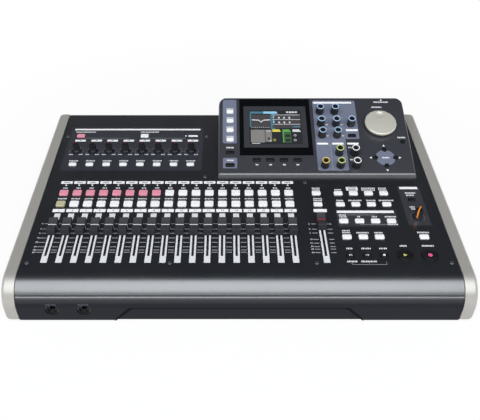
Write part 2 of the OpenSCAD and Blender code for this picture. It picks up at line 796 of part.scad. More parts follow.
module sockets() {
    color("#1c1d20") {
        for (x = inputs) on_rear(x) difference() {
            round_socket(input_barrel, input_depth, input_well, input_well_depth)
                translate([-input_flange / 2, -input_flange / 2, 0])
                    cube([input_flange, input_flange, flange_depth]);
            translate([0, 0, 2 - input_depth]) cylinder(h = input_depth, d = jack_bore);
        }
        for (x = jacks) on_rear(x) round_socket(jack_nose, jack_depth, jack_bore, jack_depth - 2)
            cylinder(h = flange_depth, d = jack_nut);
        for (x = din_list) on_rear(x) round_socket(din_barrel, short_depth, din_well, short_depth - 4)
            translate([-din_flange / 2, -din_flange / 2, 0]) cube([din_flange, din_flange, flange_depth]);
        on_rear(across(inlet_x)) round_socket(inlet_nose, short_depth, jack_bore, short_depth - 2)
            translate([-inlet_flange / 2, -inlet_flange / 2, 0])
                cube([inlet_flange, inlet_flange, flange_depth]);
        on_rear(across(data_x)) difference() {
            translate([-data_size[0] / 2, -data_size[1] / 2, -short_depth])
                cube([data_size[0], data_size[1], short_depth + flange_depth]);
            translate([-data_port[0] / 2, -data_port[1] / 2, 6 - short_depth])
                cube([data_port[0], data_port[1], short_depth]);
        }
        for (i = [0, 1]) front_jack(across(front_jack_x + i * front_jack_pitch));
    }
}

// Jack behind the apron: a cup that fills the well, with the plug's bore in its floor
module front_jack(x) {
    face = -rear_y + cheek_proud + panel_t;
    translate([x, face, front_jack_z]) rotate([-90, 0, 0]) difference() {
        union() {
            translate([0, 0, cup_out]) cylinder(h = cup_depth, d = front_jack_dia - 2 * fit);
            translate([0, 0, cup_out + cup_depth - seat]) cylinder(h = jack_depth, d = front_jack_dia + 3);
        }
        translate([0, 0, cup_out - 1]) cylinder(h = cup_depth, d = front_jack_dia - 3);
        translate([0, 0, cup_out]) cylinder(h = jack_depth, d = jack_bore);
    }
}

module panel_screws() {
    color("silver") for (p = screw_list) on_panel(p[0], p[1]) {
        cylinder(h = screw_h, d = screw_dia);
        translate([0, 0, -panel_t - 4]) cylinder(h = panel_t + 4, d = shank_dia);
    }
}

// Keys

module key_bank(keys) {
    for (k = keys) on_panel(k[0], k[1]) key(k[2], k[3], panel_t);
}

module input_keys() {
    color("white") key_bank(input_key_list);
}

module channel_keys() {
    color("white") key_bank(channel_key_list);
}

module command_keys() {
    color("white") key_bank(command_key_list);
}

module transport_keys() {
    color("#222228") for (k = transport_list) on_panel(k[0], k[1]) round_key(k[2], panel_t);
}

module pod_keys() {
    color("#2a2b31") {
        for (k = pod_key_list) on_pod(k[0], k[1]) key(k[2], k[3], pod_t);
        for (k = pod_round_list) on_pod(k[0], k[1]) round_key(k[2], pod_t);
    }
}

module standby_button() {
    color("#2a2b31") on_rear(across(standby_x))
        translate([-standby_size[0] / 2, -standby_size[1] / 2, -standby_depth])
            cube([standby_size[0], standby_size[1], standby_depth + standby_travel]);
}

// Faders and knobs

// Fader at a place along its travel: a dished cap on a flat lever
module fader(x, place) {
    dish_half = cap_l / 2 - cap_ridge;
    dish_r = (dish_half * dish_half + cap_dish * cap_dish) / (2 * cap_dish);
    lever_top = cap_h - cap_dish - 2.5;
    on_panel(x, fader_s + place) {
        color("#1b1c22") difference() {
            translate([-cap_w / 2, 0, 0]) along_x(cap_w) difference() {
                translate([-cap_l / 2, hover]) square([cap_l, cap_h - hover]);
                translate([0, cap_h - cap_dish + dish_r]) circle(dish_r);
            }
            translate([-lever_t / 2 - seat, -lever_l / 2 - seat, 0])
                cube([lever_t + 2 * seat, lever_l + 2 * seat, lever_top]);
        }
        color("silver") translate([-lever_t / 2, -lever_l / 2, -board_n + 2])
            cube([lever_t, lever_l, lever_top - seat + board_n - 2]);
    }
}

module trim_knob(i) {
    color("#1b1c22") on_panel(trims[i - 1], trim_s) pointer_knob(trim_dia, trim_top, trim_h);
}

module phones_knob() {
    color("#1b1c22") on_panel(phones_at, phones_s) rotate(-phones_turn)
        pointer_knob(phones_dia, phones_top, phones_h);
}

module encoder_knob(i) {
    p = encoder_place(i - 1);
    bore_h = encoder_h - 3.5;
    color("#26303c") on_pod(p[0], p[1]) {
        difference() {
            translate([0, 0, hover]) cylinder(h = encoder_h - hover, d = encoder_dia);
            translate([0, 0, encoder_h - 1]) cylinder(h = 2, d = encoder_dia - 2.4);
            translate([0, 0, hover - 1]) cylinder(h = bore_h - hover + 1, d = shaft_dia + 2 * seat);
        }
        shaft(pod_t, bore_h);
    }
}

module jog_wheel() {
    bore_h = jog_h - 3;
    dimple_r = (dimple_dia * dimple_dia / 4 + dimple_depth * dimple_depth) / (2 * dimple_depth);
    color("#c9c5bb") on_pod(jog_u, jog_v) {
        difference() {
            union() {
                translate([0, 0, hover]) cylinder(h = 2, d = jog_dia - 3);
                translate([0, 0, hover + 2]) cylinder(h = jog_h - hover - 3, d = jog_dia);
                translate([0, 0, jog_h - 1]) cylinder(h = 1, d1 = jog_dia, d2 = jog_dia - 3);
            }
            translate([0, (jog_dia - 3) / 2 - dimple_dia * 0.6, jog_h + dimple_r - dimple_depth])
                sphere(dimple_r);
            translate([0, 0, hover - 1]) cylinder(h = bore_h - hover + 1, d = shaft_dia + 2 * seat);
        }
        shaft(pod_t, bore_h);
    }
}

base_tray();
rear_panel();
top_panel();
front_apron();
side_cheeks();
pod_housing();
display_window();
lcd_module();
circuit_boards();
control_units();
sockets();
panel_screws();
feet();
input_keys();
channel_keys();
command_keys();
transport_keys();
pod_keys();
standby_button();
fader(master_at, fader_travel / 2);  // master_fader
jog_wheel();
phones_knob();
for (i = [1:CHANNELS])
    fader(channels[i - 1], fader_rest);
for (i = [1:INPUTS])
    trim_knob(i);
for (i = [1:len(encoder_at)])
    encoder_knob(i);
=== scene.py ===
"""Desktop multitrack recorder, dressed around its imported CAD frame.

The file is laid out as an add-on. Sizes are in millimetres and become metres as a mesh is made.
Panel places are x across the case and s up the panel's slope from its front edge.
Pod places are u from the pod's left side and v up the pod's slope from its lip.
"""

import math

import bmesh
import bpy
import numpy as np
from bpy.props import FloatProperty, FloatVectorProperty, PointerProperty
from bpy.types import Operator, Panel, PropertyGroup
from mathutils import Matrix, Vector


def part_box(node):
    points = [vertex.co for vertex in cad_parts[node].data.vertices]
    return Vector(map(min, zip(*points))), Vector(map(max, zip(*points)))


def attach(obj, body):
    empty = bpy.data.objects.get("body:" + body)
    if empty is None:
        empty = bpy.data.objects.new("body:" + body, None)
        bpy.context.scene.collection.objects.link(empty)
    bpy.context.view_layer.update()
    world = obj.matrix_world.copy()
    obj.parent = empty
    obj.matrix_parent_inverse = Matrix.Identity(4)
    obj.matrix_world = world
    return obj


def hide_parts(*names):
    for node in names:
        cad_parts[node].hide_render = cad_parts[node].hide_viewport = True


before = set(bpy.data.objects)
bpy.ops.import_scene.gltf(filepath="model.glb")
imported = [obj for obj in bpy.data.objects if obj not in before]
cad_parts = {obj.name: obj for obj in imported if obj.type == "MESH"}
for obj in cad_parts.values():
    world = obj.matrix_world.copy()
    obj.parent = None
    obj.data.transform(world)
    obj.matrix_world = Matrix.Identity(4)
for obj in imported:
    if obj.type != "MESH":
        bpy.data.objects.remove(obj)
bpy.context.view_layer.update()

bl_info = {
    "name": "Multitrack recorder",
    "version": (1, 0, 0),
    "blender": (4, 5, 0),
    "location": "View3D > Sidebar > Recorder",
    "description": "Builds the looks of a desktop multitrack recorder around its CAD frame",
    "category": "Object",
}

MM = 0.001

# The case's section, as the CAD draws it
CASE_W = 514.0
CASE_D = 340.0
AXIS_Z = 22.4
ROLL_R = 28.0
CHEEK_W = 14.3
CHEEK_PROUD = 1.2
CHEEK_GAP = 0.4
PANEL_TILT = 2.2
PANEL_T = 2.2
SEAM_ANGLE = 35.0
SEAM_GAP = 0.5
UNDERCUT_TOP, UNDERCUT_BOTTOM, UNDERCUT_Z, UNDERCUT_DEPTH = 121.0, 138.0, 23.0, 1.2
FRONT_JACKS, JACK_MARK = (-204.6, -169.6), 10.0
ROLL_Y = -CASE_D / 2 + ROLL_R + CHEEK_PROUD
PANEL_W = CASE_W - 2 * CHEEK_W - 2 * CHEEK_GAP

# The pod on the panel
POD_X = -25.2
POD_S = 193.7
POD_LIP_H = 4.5
POD_LIP_LEAN = 2.0
POD_TILT = 18.0
POD_T = 3.0

# Rows and columns of the controls
CHANNELS = -217.3 + 16.5 * np.arange(18)
MASTER_X = 97.5
TRIMS = -217.2 + 22.16 * np.arange(8)
COMMANDS = 124.9 + 18.9 * np.arange(4)
RIGHT_X = 214.2
PLAY_X = 186.5
PHONES = (214.3, 118.0)
PHONES_REST = -27.0
ARM_S, SELECT_S = 163.0, 142.0
PHANTOM_S, TRIM_S, SOURCE_S = 287.0, 252.0, 221.7
COMMAND_ROWS = (83.5, 110.8, 141.1, 162.1)
MONITOR_S, TRANSPORT_S = 150.0, 54.0
FADER_S, FADER_TRAVEL, FADER_REST = 82.1, 47.6, 14.9
SLOT_W, SLOT_L = 2.8, 58.2
ENCODER_U = (138.0, 158.1, 178.4)
ENCODER_V = (12.5, 32.9, 63.0, 82.4, 103.9)
JOG = (217.8, 81.3)
CURSOR = (218.4, 26.3)
CURSOR_ARM = 13.0
CURSOR_R = 12.6
RETURN_KEY = (244.4, 52.6)
STANDBY_X = 202.0
SOCKET_Z, REAR_RECESS = 33.0, 2.0
SCREWS = [(-235.5, 42, 0), (-77, 42, 0), (86, 42, 0), (235.5, 42, 0),
          (-235.5, 285, 0), (-42, 285, 0), (-42, 195, 0), (85.5, 184, 0)]

# Where prints start and how high each kind stands
SUNK, INK_H, LEGEND_H, LINE_H = -0.02, 0.06, 0.05, 0.04

# Meshes: the angles from which an edge stays sharp or is bevelled, and how close two points are one
SHARP = math.radians(38)
BEVEL_FROM = math.radians(35)
SAME_POINT = 1e-7


def srgb(r, g, b):
    """An 8 bit display colour as linear light, which sockets take."""
    c = np.array([r, g, b]) / 255
    return tuple(np.where(c <= 0.04045, c / 12.92, ((c + 0.055) / 1.055) ** 2.4).tolist())


def colour_prop(name, description, rgb):
    """A colour setting whose default is an 8 bit display colour."""
    return FloatVectorProperty(name=name, description=description, subtype="COLOR", size=3, min=0, max=1,
                               default=srgb(*rgb))


def length_prop(name, description, mm):
    """A length setting, kept in metres, whose default is in millimetres."""
    return FloatProperty(name=name, description=description, unit="LENGTH", default=mm * MM, min=0)


# Frames: an origin in millimetres and the rows of its axes


def slope(origin, degrees):
    """A frame turned about X: rows are its x, its up-slope and its normal."""
    c, s = math.cos(math.radians(degrees)), math.sin(math.radians(degrees))
    return np.array(origin, float), np.array([[1, 0, 0], [0, c, s], [0, -s, c]])


def onto(place, points):
    """Points of a frame in the row frame, in metres: origin + x ex + y ey + z ez."""
    origin, axes = place
    return (origin + np.asarray(points, float) @ axes) * MM


WORLD = (np.zeros(3), np.eye(3))
ROLL = slope((0, ROLL_Y, AXIS_Z), PANEL_TILT)
PANEL = (ROLL[0] + np.array([0, -ROLL_R, ROLL_R]) @ ROLL[1], ROLL[1])
POD = slope(onto(PANEL, (POD_X, POD_S + POD_LIP_LEAN, POD_LIP_H)) / MM, POD_TILT)
REAR = (np.array([0, CASE_D / 2 - REAR_RECESS, SOCKET_Z]), np.array([[-1.0, 0, 0], [0, 0, 1], [0, 1, 0]]))


# Shapes: each is (points, faces) in millimetres of its own frame


def grid_faces(rows, cols):
    """Quads of a grid of points whose last column joins its first."""
    r, c = np.meshgrid(np.arange(rows - 1), np.arange(cols), indexing="ij")
    n = (c + 1) % cols
    return np.stack([r * cols + c, r * cols + n, (r + 1) * cols + n, (r + 1) * cols + c], -1).reshape(-1, 4)


def skin(rings):
    """A closed skin through rings of points: quads join neighbours, and a fan to its mean closes each end."""
    k, n = rings.shape[:2]
    points = np.vstack([rings.reshape(-1, 3), rings[0].mean(0), rings[-1].mean(0)])
    i = np.arange(n)
    j = (i + 1) % n
    low = np.stack([j, i, np.full(n, k * n)], -1)
    high = np.stack([(k - 1) * n + i, (k - 1) * n + j, np.full(n, k * n + 1)], -1)
    return points, grid_faces(k, n).tolist() + low.tolist() + high.tolist()


def prism(outline, low, high):
    """A flat outline of (x, y) carried straight up from low to high."""
    return skin(np.array([np.c_[outline, np.full(len(outline), h)] for h in (low, high)]))


def rounded(w, l, r, count=32):
    """Outline of a w by l rectangle with corners of radius r: count points evenly along it."""
    turn = np.arange(4)[:, None] * np.pi / 2 + np.linspace(0, np.pi / 2, 9)
    cx = np.array([1, -1, -1, 1])[:, None] * (w / 2 - r)
    cy = np.array([1, 1, -1, -1])[:, None] * (l / 2 - r)
    p = np.stack([cx + r * np.cos(turn), cy + r * np.sin(turn)], -1).reshape(-1, 2)
    p = np.vstack([p, p[:1]])
    run = np.r_[0, np.cumsum(np.hypot(*np.diff(p, axis=0).T))]
    at = np.linspace(0, run[-1], count, endpoint=False)
    return np.stack([np.interp(at, run, p[:, 0]), np.interp(at, run, p[:, 1])], -1)


def pillow(w, l, r, steps, count=32):
    """A moulded block: rounded outlines drawn in by each step's inset at that step's height."""
    rings = [np.c_[rounded(w - 2 * i, l - 2 * i, max(r - i, 0.12), count), np.full(count, h)] for i, h in steps]
    return skin(np.array(rings))


def lathe(profile, turns=64, flutes=0):
    """A turned shape: (r cos t, r sin t, z) along a profile of (r, z) or (r, z, depth); flutes press r in by depth."""
    r, z, depth = np.array([(*p, 0)[:3] for p in profile], float).T[:, :, None]
    t = np.arange(turns) * 2 * np.pi / turns
    r = r - depth * (0.5 + 0.5 * np.cos(flutes * t)) ** 2
    return skin(np.stack([r * np.cos(t), r * np.sin(t), np.broadcast_to(z, r.shape)], -1))


def stem(depth):
    """A control's spindle as a part, from its depth under the skin to its cap."""
    return lathe([(3, -depth), (3, 1)], 24), "contact_metal"


def corners(rows):
    """The four corners of each row of (x, y, width, length), anticlockwise."""
    rows = np.asarray(rows, float).reshape(-1, 4)
    return rows[:, None, :2] + np.array([(-1, -1), (1, -1), (1, 1), (-1, 1)]) / 2 * rows[:, None, 2:]


def plates(rows, low=SUNK, high=INK_H):
    """Thin blocks, one for each row of (x, y, width, length), from low to high."""
    flat = corners(rows)
    z = np.broadcast_to(np.array([low, high])[None, :, None, None], (len(flat), 2, 4, 1))
    points = np.concatenate([np.repeat(flat[:, None], 2, 1), z], -1).reshape(-1, 3)
    box = np.array([(3, 2, 1, 0), (4, 5, 6, 7), (0, 1, 5, 4), (1, 2, 6, 5), (2, 3, 7, 6), (3, 0, 4, 7)])
    return points, (box + 8 * np.arange(len(flat))[:, None, None]).reshape(-1, 4).tolist()


def frames(rows, slot):
    """Thin plates with a slot through each: rows of (x, y, width, length), slot is (width, length, y offset)."""
    wide, long, off = slot
    outer, inner = corners(rows), corners([(x, y + off, wide, long) for x, y, _, _ in rows])
    rings = [np.concatenate([p, np.full(p.shape[:2] + (1,), h)], -1)
             for p, h in ((outer, INK_H), (inner, INK_H), (inner, SUNK), (outer, SUNK))]
    points, quads = np.stack(rings, 1).reshape(-1, 3), grid_faces(5, 4) % 16
    return points, (quads + 16 * np.arange(len(outer))[:, None, None]).reshape(-1, 4).tolist()


def repeat(shape, offsets):
    """One shape at each offset of (x, y, z)."""
    points, faces = shape
    offsets = np.asarray(offsets, float).reshape(-1, 1, 3)
    many = (points[None] + offsets).reshape(-1, 3)
    return many, [[v + k * len(points) for v in f] for k in range(len(offsets)) for f in faces]


def flat_places(xs, y):
    """Places in one row: an (n, 3) array of x, y and no height."""
    xs = np.atleast_1d(xs)
    return np.c_[xs, np.full(len(xs), y), np.zeros(len(xs))]


def along(xs, y, w, l):
    """Rows of (x, y, width, length) for fields of one size in a line."""
    return [(x, y, w, l) for x in xs]


def spans(rows):
    """Rows of (x, y, width, length) for fields of (left, right, y, length)."""
    return [((x0 + x1) / 2, y, x1 - x0, l) for x0, x1, y, l in rows]


def dots(places, r, high=INK_H, turns=16):
    """Low round dots at places of (x, y, z)."""
    return repeat(lathe([(r, SUNK), (r, high)], turns), places)


def legends(rows, letter=1.75):
    """Rows of small blocks that stand for a printed legend: (x, y, width, height) each, split by the letter pitch."""
    blocks = []
    for x, y, w, h in rows:
        n = max(1, round(w / letter))
        step = w / n
        wide = step * (0.66 + 0.12 * np.sin(2.4 * np.arange(n) + x))
        blocks.append(np.c_[x - w / 2 + step * (np.arange(n) + 0.5), np.full(n, y), wide, np.full(n, 1.15 * h)])
    return plates(np.vstack(blocks), high=LEGEND_H)


def band(path, wide, inner, outer):
    """A strip over a path of (x, z) with outward normals: four corners at each station, wide along y."""
    path = np.array(path, float)
    point, out = path[:, :2], path[:, 2:]
    across = np.array([1, -1, -1, 1]) * wide / 2
    lift = np.array([outer, outer, inner, inner])
    xz = point[:, None] + out[:, None] * lift[None, :, None]
    rings = np.stack([xz[..., 0], np.broadcast_to(across, xz.shape[:2]), xz[..., 1]], -1)
    return skin(rings[::-1])


def mirrored(right):
    """A path of (x, z) with outward normals, followed by its mirror image."""
    right = np.asarray(right)
    return np.vstack([right, right[::-1] * (-1, 1, -1, 1)])


def turned(shape, degrees):
    """A shape turned about its own z, anticlockwise."""
    c, s = math.cos(math.radians(degrees)), math.sin(math.radians(degrees))
    return np.asarray(shape[0]) @ np.array([[c, s, 0], [-s, c, 0], [0, 0, 1]]), shape[1]


def figures(texts, size, high):
    """Plain numbers as thin solids, one text at each (text, x, y) place, from Blender's own font."""
    points, faces, start = [], [], 0
    for text, x, y in texts:
        curve = bpy.data.curves.new("figure", "FONT")
        curve.body, curve.size, curve.extrude = text, size, -SUNK
        curve.align_x, curve.align_y, curve.resolution_u = "CENTER", "CENTER", 2
        holder = bpy.data.objects.new("figure", curve)
        bpy.context.scene.collection.objects.link(holder)
        mesh = bpy.data.meshes.new_from_object(holder.evaluated_get(bpy.context.evaluated_depsgraph_get()))
        co = np.empty(len(mesh.vertices) * 3)
        mesh.vertices.foreach_get("co", co)
        points.append(co.reshape(-1, 3) + (x, y, high))
        faces += [[v + start for v in p.vertices] for p in mesh.polygons]
        start += len(mesh.vertices)
        bpy.data.meshes.remove(mesh)
        bpy.data.objects.remove(holder)
        bpy.data.curves.remove(curve)
    return np.vstack(points), faces


def assemble(name, place, parts, body, hides=None, bevel=0.0):
    """One object on a body from parts of (shape, finish) in a frame, in place of the CAD node that it hides."""
    tones = list(dict.fromkeys(tone for _, tone in parts))
    points, faces, marks, start = [], [], [], 0
    for (p, f), tone in parts:
        points.append(onto(place, p))
        faces += [[v + start for v in face] for face in f]
        marks += [tones.index(tone)] * len(f)
        start += len(p)
    mesh = bpy.data.meshes.new(name)
    mesh.from_pydata(np.vstack(points), [], faces)
    for tone in tones:
        mesh.materials.append(FINISHES[tone].material)
    mesh.polygons.foreach_set("material_index", marks)
    clean = bmesh.new()
    clean.from_mesh(mesh)
    bmesh.ops.remove_doubles(clean, verts=clean.verts, dist=SAME_POINT)
    clean.to_mesh(mesh)
    clean.free()
    mesh.shade_smooth()
    mesh.set_sharp_from_angle(angle=SHARP)
    made = bpy.data.objects.new(name, mesh)
    bpy.context.scene.collection.objects.link(made)
    if bevel:
        edge = made.modifiers.new("soft edges", "BEVEL")
        edge.width, edge.segments, edge.limit_method = bevel * MM, 3, "ANGLE"
        edge.angle_limit, edge.harden_normals = BEVEL_FROM, False
    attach(made, body)
    if hides:
        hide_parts(hides)


def control(node, kind, place, parts, at, bevel=0.0):
    """A moving piece at a place of its frame. It rides on the node that it is named after, and hides it."""
    parts = [(repeat(shape, [(*at, 0)]), tone) for shape, tone in parts]
    assemble(node + kind, place, parts, node, node, bevel)


# Finishes: node materials on Object coordinates


class Wiring:
    """Adds nodes to one node tree. An input is a value or another node's output."""

    def __init__(self, tree):
        self.tree = tree

    def feed(self, socket, value):
        if isinstance(value, bpy.types.NodeSocket):
            self.tree.links.new(value, socket)
        else:
            socket.default_value = value

    def node(self, kind, **inputs):
        made = self.tree.nodes.new(kind)
        for key, value in inputs.items():
            self.feed(made.inputs[key.replace("_", " ")], value)
        return made

    def fed(self, kind, *inputs, **choices):
        """A node with its choices set and its first inputs fed in order."""
        made = self.tree.nodes.new(kind)
        for key, value in choices.items():
            setattr(made, key, value)
        for k, value in enumerate(inputs):
            self.feed(made.inputs[k], value)
        return made

    def math(self, operation, a, b):
        return self.fed("ShaderNodeMath", a, b, operation=operation).outputs[0]


class Finish(Wiring):
    """Builds one Principled material. Grain is a bump, cloud a slow drift of colour and gloss."""

    def __init__(self, name, colour, rough, metallic=0.0, specular=0.5, coat=0.0, coat_rough=0.1, ior=1.5):
        self.material = bpy.data.materials.new(name.replace("_", " "))
        self.material.use_nodes = True
        super().__init__(self.material.node_tree)
        self.shader = self.tree.nodes["Principled BSDF"]
        self.colour, self.rough = colour, rough
        values = {"Base Color": (*colour, 1), "Roughness": rough, "Metallic": metallic, "IOR": ior,
                  "Specular IOR Level": specular, "Coat Weight": coat, "Coat Roughness": coat_rough}
        for socket, value in values.items():
            self.set(socket, value)
        self.coords = self.node("ShaderNodeTexCoord").outputs["Object"]

    def set(self, socket, value):
        self.feed(self.shader.inputs[socket], value)

    def vector(self, operation, a, b=(0, 0, 0)):
        made = self.fed("ShaderNodeVectorMath", a, b, operation=operation)
        return made.outputs["Value" if operation == "LENGTH" else "Vector"]

    def mix(self, factor, a, b):
        made = self.fed("ShaderNodeMix", factor, data_type="RGBA")
        self.feed(made.inputs[6], a)
        self.feed(made.inputs[7], b)
        return made.outputs[2]

    def noise(self, scale, detail=3.0):
        return self.node("ShaderNodeTexNoise", Vector=self.coords, Scale=scale, Detail=detail).outputs["Fac"]

    def cloud(self, scale, swing, rough_swing):
        """Colour drifts by a share of itself and roughness by an amount, over spots 1/scale metres wide."""
        base = np.array(self.colour)
        self.tint = self.mix(self.noise(scale), (*(base * (1 - swing)), 1), (*np.minimum(base * (1 + swing), 1), 1))
        self.set("Base Color", self.tint)
        self.set("Roughness", self.node("ShaderNodeMapRange", Value=self.noise(scale * 2.7),
                                        To_Min=self.rough - rough_swing, To_Max=self.rough + rough_swing).outputs[0])
        return self

    def grain(self, scale, depth, height=None):
        """A bump of depth metres from fine noise, or from a given height."""
        made = self.node("ShaderNodeBump", Height=height or self.noise(scale, 2.0), Distance=depth, Strength=1.0)
        self.set("Normal", made.outputs[0])
        return self

    def local(self, place):
        """Coordinates of a sloping frame, in metres, with no height."""
        origin, axes = place
        made = self.node("ShaderNodeMapping", Vector=self.coords)
        made.vector_type = "TEXTURE"
        made.inputs["Location"].default_value = origin * MM
        made.inputs["Rotation"].default_value = (math.atan2(axes[1][2], axes[1][1]), 0, 0)
        return self.vector("MULTIPLY", made.outputs[0], (1, 1, 0))

    def patches(self, place, rows):
        """Printed fields: inside a rounded box, where the length of max(|p - c| - half + r, 0) is under r."""
        p = self.local(place)
        for (x0, x1, y0, y1), r, colour in rows:
            middle = ((x0 + x1) / 2 * MM, (y0 + y1) / 2 * MM, 0)
            core = (((x1 - x0) / 2 - r) * MM, ((y1 - y0) / 2 - r) * MM, 0)
            out = self.vector("SUBTRACT", self.vector("ABSOLUTE", self.vector("SUBTRACT", p, middle)), core)
            reach = self.vector("LENGTH", self.vector("MAXIMUM", out))
            self.tint = self.mix(self.math("LESS_THAN", reach, r * MM), self.tint, (*colour, 1))
        self.set("Base Color", self.tint)

    def rings(self, place, centre, pitch, depth):
        """Turned lines: a bump from the sine of the distance from a centre."""
        away = self.vector("SUBTRACT", self.local(place), (centre[0] * MM, centre[1] * MM, 0))
        turns = self.math("MULTIPLY", self.vector("LENGTH", away), 2 * math.pi / (pitch * MM))
        self.grain(0, depth, self.math("SINE", turns, 0.0))


FINISHES = {}


# Settings


class RecorderPaint(PropertyGroup):
    panel: colour_prop("Panel", "Satin paint of the top panel and the seam lip", (20, 23, 30))
    pod: colour_prop("Pod", "Satin paint of the pod", (51, 53, 60))
    cheek: colour_prop("Cheeks", "Metallic paint of the side cheeks", (184, 181, 176))
    patch: colour_prop("Input field", "Printed field round the trim knobs", (45, 47, 57))
    locate_patch: colour_prop("Locate fields", "Printed fields at the right of the panel", (53, 53, 61))
    pod_patch: colour_prop("Pod fields", "Printed fields on the pod", (116, 122, 143))
    ink: colour_prop("White ink", "Strips and bars", (250, 250, 252))
    legend: colour_prop("Legend ink", "Small printed legends", (236, 237, 241))
    strip: colour_prop("Fader strips", "Pale strips round the fader slots", (224, 225, 229))
    tick: colour_prop("Ticks", "Lines between the faders", (160, 162, 170))


class RecorderCase(PropertyGroup):
    cheek_edge: length_prop("Cheek edge", "Radius of a cheek along its top and nose", 3.5)
    cheek_foot: length_prop("Cheek foot", "Radius of a cheek along its bottom", 6.0)
    cheek_rear: length_prop("Cheek rear", "Radius of a cheek at its rear corner", 8.0)
    nose_foot: length_prop("Nose foot", "Radius under the nose of a cheek, seen from the side", 4.0)
    lip: length_prop("Seam lip", "Width of the bright lip under the front seam", 3.4)
    bead: length_prop("Seam bead", "Radius of that lip's upper edge", 2.2)


class RecorderKeys(PropertyGroup):
    height: length_prop("Key height", "Top of a key above the panel", 1.5)
    corner: length_prop("Corner", "Corner radius of a key", 1.4)
    white: colour_prop("White keys", "Translucent silicone", (246, 246, 248))
    red: colour_prop("Lit red keys", "Keys lit red", (228, 148, 168))
    olive: colour_prop("Lit yellow key", "Key lit yellow", (190, 185, 150))
    dark: colour_prop("Dark keys", "Soft black silicone", (16, 16, 19))


class RecorderFaders(PropertyGroup):
    cap_length: length_prop("Cap length", "Length of a fader cap", 22.5)
    cap_width: length_prop("Cap width", "Width of a fader cap at its foot", 10.4)
    cap_height: length_prop("Cap height", "Height of the cap's ends above the panel", 9.6)
    dish: length_prop("Dish", "Depth of the finger dish", 2.2)
    ridge: length_prop("Ridge", "Length of the flat ridge at each end of a cap", 2.5)
    line: length_prop("Line", "Width of the line across a cap", 1.3)
    cap: colour_prop("Caps", "Satin black of the caps", (52, 52, 59))
    # Painted light: the caps' rear halves are a paler copy of the cap colour, standing for the light that falls on
    # their rear slopes.
    cap_rear: colour_prop("Rear of caps", "Paler satin of the caps' rear halves", (64, 65, 69))
    master_line: colour_prop("Master line", "Line of the master fader", (146, 42, 56))


class RecorderKnobs(PropertyGroup):
    knob: colour_prop("Knobs", "Satin black of the knobs", (20, 21, 26))
    pointer: colour_prop("Trim pointer", "Pointer of a trim knob", (168, 48, 66))
    phones: colour_prop("Phones pointer", "Pointer of the phones knob", (232, 142, 52))
    blue: colour_prop("Blue rings", "Rings of the equaliser encoders", (172, 202, 230))
    yellow: colour_prop("Yellow ring", "Ring of the yellow encoder", (228, 208, 112))
    green: colour_prop("Green rings", "Rings of the green encoders", (200, 218, 128))
    white: colour_prop("White rings", "Rings of the white encoders", (246, 246, 248))
    jog: colour_prop("Jog wheel", "Metallic paint of the jog wheel", (219, 217, 206))


class RecorderStage(PropertyGroup):
    camera_place: FloatVectorProperty(name="Camera", description="Where the camera stands", subtype="TRANSLATION",
                                      size=3, default=(-0.0126, -0.64029, 0.54365))
    camera_pitch: FloatProperty(name="Pitch", description="How far the camera looks down", subtype="ANGLE",
                                default=math.radians(39.14))
    lens: FloatProperty(name="Lens", description="Focal length in millimetres on a 36 mm sensor", default=48.0)
    shift: FloatProperty(name="Shift", description="Sideways shift of the frame", default=0.0252)
    key_light: FloatProperty(name="Key light", description="Radiance of the front softbox", default=3.5)
    key_tint: FloatVectorProperty(name="Key tint", description="Colour of the front softbox", subtype="COLOR", size=3,
                                  min=0, max=1, default=(0.96, 0.985, 1.0))


SETTINGS = {"recorder_paint": RecorderPaint, "recorder_case": RecorderCase, "recorder_keys": RecorderKeys,
            "recorder_faders": RecorderFaders, "recorder_knobs": RecorderKnobs, "recorder_stage": RecorderStage}


def settings(name):
    return getattr(bpy.context.scene, "recorder_" + name)


def in_mm(value):
    return value / MM


# Operators


